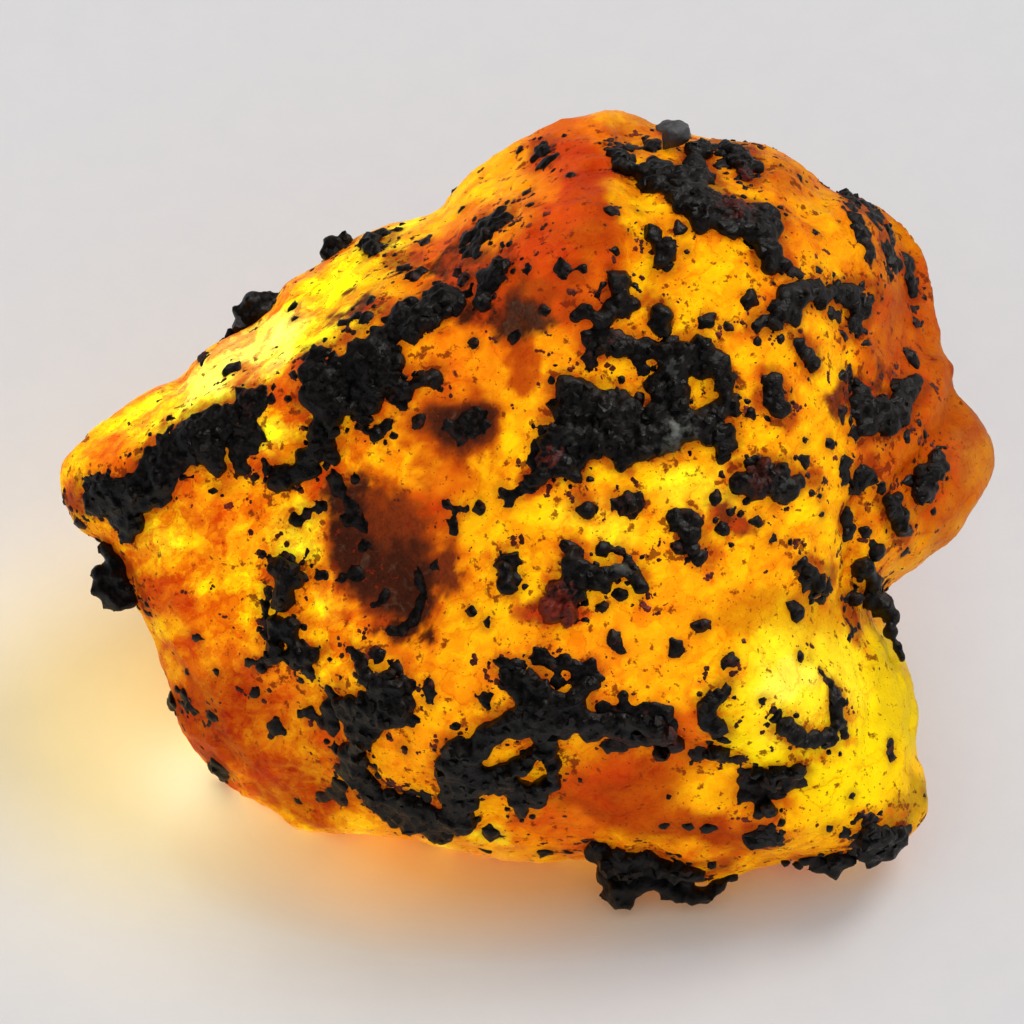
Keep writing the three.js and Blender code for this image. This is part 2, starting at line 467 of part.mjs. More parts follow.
// The stone's skin.
function stoneSkin() {
  const geometry = new THREE.IcosahedronGeometry(1, STONE_DETAIL);
  geometry.deleteAttribute("normal");
  geometry.deleteAttribute("uv");
  const skin = mergeVertices(geometry, 1e-5);
  const position = skin.attributes.position;
  const { exact, even } = outlineScales();
  const toPart = new THREE.Matrix4().makeBasis(face.right, face.up, face.out);
  for (let i = 0; i < position.count; i++) {
    const direction = new THREE.Vector3().fromBufferAttribute(position, i).normalize();
    const angle = Math.atan2(direction.y, direction.x);
    const turn = (THREE.MathUtils.radToDeg(angle) + 360) % 360;
    const degree = Math.floor(turn);
    const between = (list) => THREE.MathUtils.lerp(list[degree], list[(degree + 1) % 360], turn - degree);
    const point = stonePoint(direction);
    const share = Math.hypot(point.x, point.y) / plainReach(angle);
    const atRim = THREE.MathUtils.smoothstep(share, RIM_START, RIM_END);
    const fitted = THREE.MathUtils.lerp(between(even), between(exact), atRim);
    const scale = THREE.MathUtils.lerp(1, fitted, THREE.MathUtils.smoothstep(share, 0, RIM_START));
    point.x *= scale;
    point.y *= scale;
    point.z += relief(point.x, point.y) * THREE.MathUtils.smoothstep(point.z, -RELIEF_DEPTH, 0);
    point.applyMatrix4(toPart);
    position.setXYZ(i, point.x, point.y, point.z);
  }
  return skin;
}

// The block below the flat break that the stone rests on.
function baseBlock() {
  const block = new THREE.BoxGeometry(BLOCK, BLOCK, BLOCK);
  block.translate(0, 0, -BASE_DEPTH - BLOCK / 2);
  return solidFrom(block);
}

const stone = solidFrom(stoneSkin()).subtract(baseBlock());
const stoneMesh = new THREE.Mesh(geometryFrom(stone), new THREE.MeshStandardMaterial({
  color: 0xf2a414,
  roughness: 0.42,
  metalness: 0,
}));
stoneMesh.name = "sapphire";
stoneMesh.updateMatrixWorld();

// The place on a side of the stone, in the part's frame, with the stone's normal there. Past the
// stone's rim, the place keeps its own distance along the side and takes the depth of the rim.
function placeOn(side, right, up) {
  const probe = new THREE.Raycaster();
  const inward = side.out.clone().negate();
  const PULL = 0.99; // how far in the next try is, where a line misses the stone
  let share = 1;
  let hit;
  while (!hit) {
    const from = new THREE.Vector3()
      .addScaledVector(side.right, right * share)
      .addScaledVector(side.up, up * share)
      .addScaledVector(side.out, BLOCK / 2);
    probe.set(from, inward);
    hit = probe.intersectObject(stoneMesh)[0];
    share *= PULL;
  }
  const place = new THREE.Vector3()
    .addScaledVector(side.right, right)
    .addScaledVector(side.up, up)
    .addScaledVector(side.out, hit.point.dot(side.out));
  return { place, normal: hit.normal.clone() };
}

// A number from 0 to 1 that is always the same for the same place.
function chance(x, y) {
  const value = Math.sin(x * 12.9898 + y * 78.233) * 43758.5453;
  return value - Math.floor(value);
}

// How far inside a crust's outline a place is: below zero outside it.
function depthInside(crust, right, up) {
  let depth = -Infinity;
  for (const chain of crust.chains) {
    for (let i = 0; i < chain.length; i++) {
      const [ax, ay, ar] = chain[i];
      const [bx, by, br] = chain[Math.min(i + 1, chain.length - 1)];
      const length = (bx - ax) ** 2 + (by - ay) ** 2;
      const free = length ? ((right - ax) * (bx - ax) + (up - ay) * (by - ay)) / length : 0;
      const t = THREE.MathUtils.clamp(free, 0, 1);
      const distance = Math.hypot(right - ax - t * (bx - ax), up - ay - t * (by - ay));
      depth = Math.max(depth, ar + t * (br - ar) - distance);
    }
  }
  return depth;
}

// A place, moved onto the crust's outline where it is near to it.
function onOutline(crust, right, up) {
  const depth = depthInside(crust, right, up);
  if (Math.abs(depth) > EDGE_BAND) return { right, up, depth };
  const NUDGE = 0.01;
  const slopeRight = (depthInside(crust, right + NUDGE, up) - depth) / NUDGE;
  const slopeUp = (depthInside(crust, right, up + NUDGE) - depth) / NUDGE;
  return { right: right - depth * slopeRight, up: up - depth * slopeUp, depth: 0 };
}

// The triangles of a lattice of places that lie inside the crust's outline.
function latticeTriangles(crust, step) {
  const points = crust.chains.flat();
  const lowRight = Math.min(...points.map(([right, , radius]) => right - radius)) - step;
  const highRight = Math.max(...points.map(([right, , radius]) => right + radius)) + step;
  const lowUp = Math.min(...points.map(([, up, radius]) => up - radius)) - step;
  const highUp = Math.max(...points.map(([, up, radius]) => up + radius)) + step;
  const columns = Math.ceil((highRight - lowRight) / step);
  const rows = Math.ceil((highUp - lowUp) / (step * ROW_SHARE));
  const nodes = new Map();
  const nodeAt = (column, row) => {
    const key = column + row * (columns + 2);
    if (!nodes.has(key)) {
      const right = lowRight + (column + (row % 2) / 2) * step;
      const up = lowUp + row * step * ROW_SHARE;
      nodes.set(key, { key, ...onOutline(crust, right, up) });
    }
    return nodes.get(key);
  };
  const triangles = [];
  for (let row = 0; row < rows; row++) {
    for (let column = 0; column < columns; column++) {
      const low = nodeAt(column, row);
      const lowNext = nodeAt(column + 1, row);
      const high = nodeAt(column, row + 1);
      const highNext = nodeAt(column + 1, row + 1);
      const pair = row % 2 ? [[low, highNext, high], [low, lowNext, highNext]]
        : [[low, lowNext, high], [lowNext, highNext, high]];
      triangles.push(...pair.filter((corners) => corners.every((node) => node.depth > -EDGE_BAND)));
    }
  }
  return triangles;
}

// The largest set of triangles joined edge to edge, in which no two fans meet at one corner only.
function soundPatch(triangles) {
  let kept = triangles;
  for (;;) {
    const across = new Map();
    kept.forEach((corners, i) => corners.forEach((node, k) => {
      const next = corners[(k + 1) % 3];
      const edge = Math.min(node.key, next.key) + ":" + Math.max(node.key, next.key);
      across.set(edge, [...(across.get(edge) ?? []), i]);
    }));
    const neighbours = kept.map(() => []);
    for (const sides of across.values()) {
      if (sides.length < 2) continue;
      neighbours[sides[0]].push(sides[1]);
      neighbours[sides[1]].push(sides[0]);
    }
    const groupFrom = (start, allowed) => {
      const group = new Set([start]);
      const waiting = [start];
      while (waiting.length) {
        for (const next of neighbours[waiting.pop()]) {
          if (group.has(next) || !allowed(next)) continue;
          group.add(next);
          waiting.push(next);
        }
      }
      return group;
    };
    let largest = new Set();
    const seen = new Set();
    kept.forEach((_, i) => {
      if (seen.has(i)) return;
      const group = groupFrom(i, () => true);
      group.forEach((member) => seen.add(member));
      if (group.size > largest.size) largest = group;
    });
    const pinched = new Set();
    const around = new Map();
    for (const i of largest) {
      for (const node of kept[i]) around.set(node.key, [...(around.get(node.key) ?? []), i]);
    }
    for (const fan of around.values()) {
      const first = groupFrom(fan[0], (i) => fan.includes(i));
      const rest = fan.filter((i) => !first.has(i));
      const smaller = rest.length < first.size ? rest : [...first];
      if (rest.length) smaller.forEach((i) => pinched.add(i));
    }
    kept = kept.filter((_, i) => largest.has(i) && !pinched.has(i));
    if (!pinched.size) return kept;
  }
}

// A crust that lies on the stone: its lattice twice, just clear of the stone and again at the top
// of the crystals, with walls between the two round its edge.
function crustBody(crust) {
  const widest = Math.max(...crust.chains.flat().map(([, , radius]) => radius));
  const step = widest < SMALL_CRUST ? SMALL_STEP : CRUST_STEP;
  const patch = soundPatch(latticeTriangles(crust, step));
  const corners = [...new Set(patch.flat())];
  const order = new Map(corners.map((node, i) => [node.key, i]));
  const bottom = [];
  const top = [];
  for (const node of corners) {
    const { place, normal } = placeOn(crust.side, node.right, node.up);
    const rise = Math.sqrt(Math.max(node.depth, 0) + CRUST_RIM ** 2) * CRUST_RISE;
    const jitter = 1 + CRUST_JITTER * (2 * chance(node.right, node.up) - 1);
    const height = rise * (crust.rise ?? 1) * jitter;
    bottom.push(...place.clone().addScaledVector(normal, CRUST_GAP).toArray());
    top.push(...place.clone().addScaledVector(normal, CRUST_GAP + height).toArray());
  }
  const count = corners.length;
  const edges = new Map();
  const index = [];
  for (const triangle of patch) {
    const [a, b, c] = triangle.map((node) => order.get(node.key));
    index.push(count + a, count + b, count + c, a, c, b);
    for (const [from, to] of [[a, b], [b, c], [c, a]]) {
      if (edges.has(to + ":" + from)) edges.delete(to + ":" + from);
      else edges.set(from + ":" + to, [from, to]);
    }
  }
  for (const [from, to] of edges.values()) {
    index.push(from, to, count + to, from, count + to, count + from);
  }
  return new wasm.Manifold(new wasm.Mesh({
    numProp: 3,
    vertProperties: new Float32Array([...bottom, ...top]),
    triVerts: new Uint32Array(index),
  }));
}

function crustMesh(crust) {
  const mesh = new THREE.Mesh(geometryFrom(crustBody(crust)), new THREE.MeshStandardMaterial({
    color: 0x1c1916,
    roughness: 0.5,
    metalness: 0.1,
  }));
  mesh.name = crust.name;
  return mesh;
}

// The part stands on its base, over the middle of the box that holds it.
const sapphire = new THREE.Group();
sapphire.name = "rough_sapphire";
sapphire.add(stoneMesh, ...crusts.map(crustMesh));
const box = new THREE.Box3().setFromObject(sapphire);
sapphire.position.set(-(box.min.x + box.max.x) / 2, -(box.min.y + box.max.y) / 2, -box.min.z);

export default sapphire;
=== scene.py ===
import math
import random

import bmesh
import bpy
import numpy as np
from mathutils import Euler, Matrix, Vector, kdtree, noise
from mathutils.bvhtree import BVHTree


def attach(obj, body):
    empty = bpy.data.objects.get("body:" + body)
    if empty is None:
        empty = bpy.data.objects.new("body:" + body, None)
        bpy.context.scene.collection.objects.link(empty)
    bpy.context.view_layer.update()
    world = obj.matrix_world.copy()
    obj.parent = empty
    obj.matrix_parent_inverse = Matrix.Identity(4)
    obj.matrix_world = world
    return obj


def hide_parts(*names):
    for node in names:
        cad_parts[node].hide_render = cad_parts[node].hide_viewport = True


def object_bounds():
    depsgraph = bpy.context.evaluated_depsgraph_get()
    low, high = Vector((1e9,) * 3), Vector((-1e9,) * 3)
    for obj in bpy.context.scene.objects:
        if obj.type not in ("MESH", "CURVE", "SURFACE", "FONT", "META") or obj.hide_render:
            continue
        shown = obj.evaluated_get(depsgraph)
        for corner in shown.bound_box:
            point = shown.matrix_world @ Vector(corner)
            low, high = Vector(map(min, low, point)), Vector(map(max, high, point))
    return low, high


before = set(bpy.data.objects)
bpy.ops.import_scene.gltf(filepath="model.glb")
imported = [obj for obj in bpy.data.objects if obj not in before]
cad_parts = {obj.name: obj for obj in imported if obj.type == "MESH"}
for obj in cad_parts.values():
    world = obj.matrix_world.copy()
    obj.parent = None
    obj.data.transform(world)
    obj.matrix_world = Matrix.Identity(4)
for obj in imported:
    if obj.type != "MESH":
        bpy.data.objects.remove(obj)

cad_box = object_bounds()

# Driving values. Lengths are in millimetres unless a comment says otherwise.
MM = 0.001
FACE_ELEVATION = 50.0  # degrees that the broad face's normal points up
STONE_CENTRE = (-0.547, -1.311, 11.0)  # the middle of the stone in the part's frame
VIEW_WIDTH = 40.96  # what the camera sees across, at the middle of the stone
VIEW_DISTANCE = 600.0
FAR_OUT = 40  # a place this far out of the face is clear of the stone
SENSOR = 36.0
SKIN_VOXEL = 0.205  # size of the fine skin's faces
PROUD = 0.45  # the most that the skin stands out of the CAD box, never downwards
RIDGE_TURN = math.radians(33)  # how far the long ridge turns up from the right
RIDGE_STRETCH = (1.4, 1.0, 1.7)  # patterns along the ridge, across it, and through the stone
INSET = 0.18  # how far inside a CAD crust's edge its crystals stand
OUTWARD = 0.75  # share by which crystals grow out of the broad face, in place of straight up
BLOCK_SPACING = 0.34  # between the blocks that a crust is grown from
SHARP_SPACING = 0.5  # between the sharper crystals on it
LONE_SPACING = 0.36  # between the places tried for a crust with no blocks
EDGE_SPACING = 0.36  # between the grains beside the crusts
BLOCK_ROOT = -0.3  # how far below the skin a block reaches
CRUST_VOXEL = 0.11  # size of the crusts' faces
GREY_VOXEL = 0.09  # of the grey crystal's
GRAIN_VOXEL = 0.1  # of the grains'
GRAIN_GLOW = 0.4  # the most painted glow, as of light through a thin grain, that a grain has
SPECK_COUNT = 1000
GREY_NODE = "crust_crown_tip"  # the one grey crystal
SEED = 7

rng = random.Random(SEED)


# ---------------------------------------------------------------- the face frame

elevation = math.radians(FACE_ELEVATION)
RIGHT = Vector((1, 0, 0))
UP = Vector((0, math.sin(elevation), math.cos(elevation)))
OUT = Vector((0, -math.cos(elevation), math.sin(elevation)))
CENTRE = Vector(STONE_CENTRE) * MM
AXES = np.array([RIGHT, UP, OUT])


def to_face(points):
    """Points in metres as a, b, c in millimetres: right, up and out of the broad face."""
    return (np.asarray(points) - np.array(CENTRE)) @ AXES.T / MM


def from_face(a, b, c):
    """A place in metres from its a, b, c in millimetres."""
    return CENTRE + (RIGHT * a + UP * b + OUT * c) * MM


# ---------------------------------------------------------------- small helpers


def smoothstep(low, high, value):
    t = np.clip((value - low) / (high - low), 0, 1)
    return t * t * (3 - 2 * t)


def linear(colour):
    """A colour given in 0 to 255, as it is seen, in linear light."""
    c = np.array(colour) / 255
    return np.where(c <= 0.04045, c / 12.92, ((c + 0.055) / 1.055) ** 2.4)


def fractal(points, size, octaves, shift):
    """Fractal noise from about -1 to 1 at points in millimetres, with lumps of the given size."""
    move = Vector((shift, shift * 0.37 + 11, shift * 0.71 - 5))
    return np.array([noise.fractal(Vector(p) / size + move, 0.9, 2.1, octaves) for p in points])


def new_object(name, data):
    obj = bpy.data.objects.new(name, data)
    bpy.context.scene.collection.objects.link(obj)
    return obj


def apply_modifiers(obj):
    bpy.context.view_layer.update()
    depsgraph = bpy.context.evaluated_depsgraph_get()
    mesh = bpy.data.meshes.new_from_object(obj.evaluated_get(depsgraph))
    old = obj.data
    obj.modifiers.clear()
    obj.data = mesh
    bpy.data.meshes.remove(old)


def remeshed(obj, voxel, smoothing):
    """Gives an object one even closed surface with faces of a size in millimetres, and smooths it."""
    even = obj.modifiers.new("even", "REMESH")
    even.mode = "VOXEL"
    even.voxel_size = voxel * MM
    soft = obj.modifiers.new("soft", "SMOOTH")
    soft.factor = 0.5
    soft.iterations = smoothing
    apply_modifiers(obj)


def read_points(mesh):
    flat = np.empty(len(mesh.vertices) * 3)
    mesh.vertices.foreach_get("co", flat)
    return flat.reshape(-1, 3)


def read_normals(mesh):
    flat = np.empty(len(mesh.vertices) * 3)
    mesh.vertex_normals.foreach_get("vector", flat)
    return flat.reshape(-1, 3)


def write_points(mesh, points):
    """Moves a mesh's corners, and shades it smooth."""
    mesh.vertices.foreach_set("co", points.ravel())
    mesh.polygons.foreach_set("use_smooth", [True] * len(mesh.polygons))
    mesh.update()


def tree_of(mesh):
    return BVHTree.FromPolygons([v.co for v in mesh.vertices], [f.vertices[:] for f in mesh.polygons])


def store_value(mesh, name, values):
    layer = mesh.attributes.new(name, "FLOAT", "POINT")
    layer.data.foreach_set("value", np.asarray(values, dtype=np.float32))


def store_colour(mesh, name, colours):
    layer = mesh.attributes.new(name, "FLOAT_COLOR", "POINT")
    values = np.ones((len(colours), 4), dtype=np.float32)
    values[:, :3] = colours
    layer.data.foreach_set("color", values.ravel())


def joined_copy(node):
    """A copy of a CAD node's mesh with its shared corners merged."""
    work = bmesh.new()
    work.from_mesh(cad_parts[node].data)
    bmesh.ops.remove_doubles(work, verts=work.verts, dist=0.001 * MM)
    mesh = bpy.data.meshes.new(node + "_copy")
    work.to_mesh(mesh)
    work.free()
    return mesh


# ---------------------------------------------------------------- the stone's skin

crust_names = sorted(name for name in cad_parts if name.startswith("crust_"))


def oval_distance(a, b, middle_a, middle_b, long, wide, turn):
    """How far each place is from the middle of an oval turned by some degrees: 1 at its edge."""
    angle = math.radians(turn)
    x = (a - middle_a) * math.cos(angle) + (b - middle_b) * math.sin(angle)
    y = -(a - middle_a) * math.sin(angle) + (b - middle_b) * math.cos(angle)
    return np.hypot(x / long, y / wide)


def line_distance(line, a, b):
    """The distance from each place to a line of [a, b] points, and whether it is on its left."""
    best = np.full(len(a), np.inf)
    left = np.zeros(len(a), dtype=bool)
    for (ax, ay), (bx, by) in zip(line, line[1:]):
        along = ((a - ax) * (bx - ax) + (b - ay) * (by - ay)) / ((bx - ax) ** 2 + (by - ay) ** 2)
        t = np.clip(along, 0, 1)
        distance = np.hypot(a - ax - t * (bx - ax), b - ay - t * (by - ay))
        side = (bx - ax) * (b - ay) - (by - ay) * (a - ax) > 0
        left = np.where(distance < best, side, left)
        best = np.minimum(best, distance)
    return best, left


# Ridges (positive heights) and grooves of the broad face: height, half width, [a, b] points.
CREASES = [
    (0.45, 0.9, [(12, 15), (12.9, 13.4), (13.7, 11.6), (14.2, 10), (14.4, 8.2), (13.8, 6.4)]),
    (0.3, 1.2, [(1.2, 15.2), (2.6, 13.2), (3.4, 11.2), (3.4, 9.6)]),
    (-0.35, 0.8, [(4.6, 15), (5, 13.2), (5.3, 11.4), (5, 9.4)]),
    (0.4, 1, [(-16.4, 1.4), (-12.2, 3.6), (-8.6, 5.4), (-5.2, 7.8), (-1.8, 10.6), (0.4, 12.6)]),
    (0.3, 0.8, [(12.6, 4.6), (12.7, 2), (12.3, -0.6), (12.1, -2.8)]),
    (-0.25, 0.5, [(14, 1.6), (13.6, -0.8), (13.6, -2.6)]),
    (0.35, 0.7, [(17, 5.6), (16.7, 4.2), (16.1, 3.1), (15.1, 1.9), (13.9, 1.3)]),
    (-0.35, 0.6, [(18, 5.4), (17.6, 4), (17, 2.9), (16, 1.5)]),
    (-0.4, 0.8, [(-0.6, -11.6), (1.6, -9.8), (4.6, -9), (7.8, -10), (10.6, -11.4)]),
    (0.3, 0.7, [(4.6, -12.9), (6.2, -12.2), (8.6, -11.8), (10.8, -12.4)]),
    (0.35, 1, [(-14.4, -2.6), (-12.9, -4.8), (-11.9, -7.2), (-9.6, -9.8)]),
    (-0.3, 0.8, [(-10.2, -2.2), (-10, -4.4), (-8.8, -6.8), (-6.6, -8.8)]),
    (0.25, 0.7, [(-13.4, 1), (-11.4, -0.8), (-10.2, -2.8)]),
    (-0.25, 0.6, [(-12.2, 1.6), (-10.2, 0.4), (-8.4, -1.8)]),
    (-0.35, 1.3, [(-5.6, 0.6), (-4.9, -1.8), (-4.2, -4)]),
    (0.3, 0.9, [(8.2, -4.6), (9.6, -6.6), (11.6, -7.6)]),
    (-0.25, 0.5, [(13.8, -5.2), (14.4, -7.4), (14.2, -9.6)]),
    (0.25, 0.5, [(15, -5.6), (15.6, -7.8), (15.3, -9.8)]),
]

# Swells and hollows of the outline: a, b, radius, height.
OUTLINE = [
    (-17.8, 1.2, 1.8, 0.25), (-17.2, -0.6, 0.8, 0.3), (-12.8, -8.8, 2.2, 0.3), (-10, -11.8, 1.8, 0.25),
    (15.8, 11, 2, 0.3), (16.8, 7.6, 1.6, 0.15), (19, 2.4, 1.8, 0.3), (17.6, -0.9, 1, 0.15),
    (16.5, -12, 1.5, 0.3), (4, 15.9, 2, 0.2), (-8.8, 8.9, 0.9, 0.35), (-11.8, 6.6, 0.9, 0.3),
    (6.9, -13.8, 1.5, 0.6), (17.9, -1, 0.8, 0.2), (16.2, -2.6, 0.7, 0.3),
    (13.1, 13.2, 1.4, -0.5), (-3.2, 12.4, 0.9, -0.3), (-13.4, 5.2, 0.8, -0.3), (15.6, -2.8, 0.8, -0.3),
]
OUTLINE_GAIN = 0.12  # how far the whole outline swells


def make_skin():
    """The stone, made finer than the CAD solid and given its ridges, grooves and roughness."""
    stone = new_object("stone", joined_copy("sapphire"))
    rounded = stone.modifiers.new("rounded", "SUBSURF")
    rounded.levels = 2
    rounded.render_levels = 2
    remeshed(stone, SKIN_VOXEL, 4)
    mesh = stone.data
    points = read_points(mesh)
    normals = read_normals(mesh)
    local = to_face(points)
    # broad swells, then lumps, then the grain of the skin
    height = 0.16 * fractal(local, 4.2, 3, 3.0)
    ridged = 1 - np.abs(fractal(local, 2.1, 3, 19.0)) * 2
    height += 0.09 * ridged
    height += 0.035 * fractal(local, 0.6, 2, 41.0)
    a, b, _ = local.T
    facing = normals @ np.array(OUT)
    front = smoothstep(-0.1, 0.3, facing)
    rim = 1 - smoothstep(0.2, 0.7, np.abs(facing))
    height += OUTLINE_GAIN * rim
    for middle_a, middle_b, radius, rise in OUTLINE:
        height += rise * rim * np.exp(-(((a - middle_a) ** 2 + (b - middle_b) ** 2) / radius ** 2))
    waver = 0.5 * fractal(local, 1.8, 2, 57.0)
    for rise, width, line in CREASES:
        distance, _ = line_distance(line, a + waver, b + waver)
        height += rise * front * np.exp(-((distance / width) ** 2))
    points = points + normals * (height * MM)[:, None]
    low = np.array(cad_box[0]) - np.array((PROUD, PROUD, 0)) * MM
    high = np.array(cad_box[1]) + PROUD * MM
    write_points(mesh, np.clip(points, low, high))
    return stone


stone = make_skin()
skin_points = read_points(stone.data)
skin_normals = read_normals(stone.data)
skin_local = to_face(skin_points)
skin_tree = BVHTree.FromObject(stone, bpy.context.evaluated_depsgraph_get())


# ---------------------------------------------------------------- the stone's colours

COLOURS = {
    # the palest yellow: the stone's own colour with painted glow of light through thin parts
    "cream": (255, 246, 130),
    "yellow": (255, 226, 44),
    "lemon": (240, 208, 10),
    "gold": (255, 186, 10),
    "honey": (248, 162, 12),
    "orange": (238, 128, 12),
    "rust": (214, 90, 12),
    "red": (200, 58, 14),
    "bronze": (190, 88, 10),
    "dull": (170, 60, 8),
    "brown": (104, 40, 15),
    "umber": (56, 24, 13),
    "smoke": (72, 44, 30),
    "olive": (172, 134, 22),
    "amber": (206, 136, 8),
    "tan": (172, 98, 54),
}

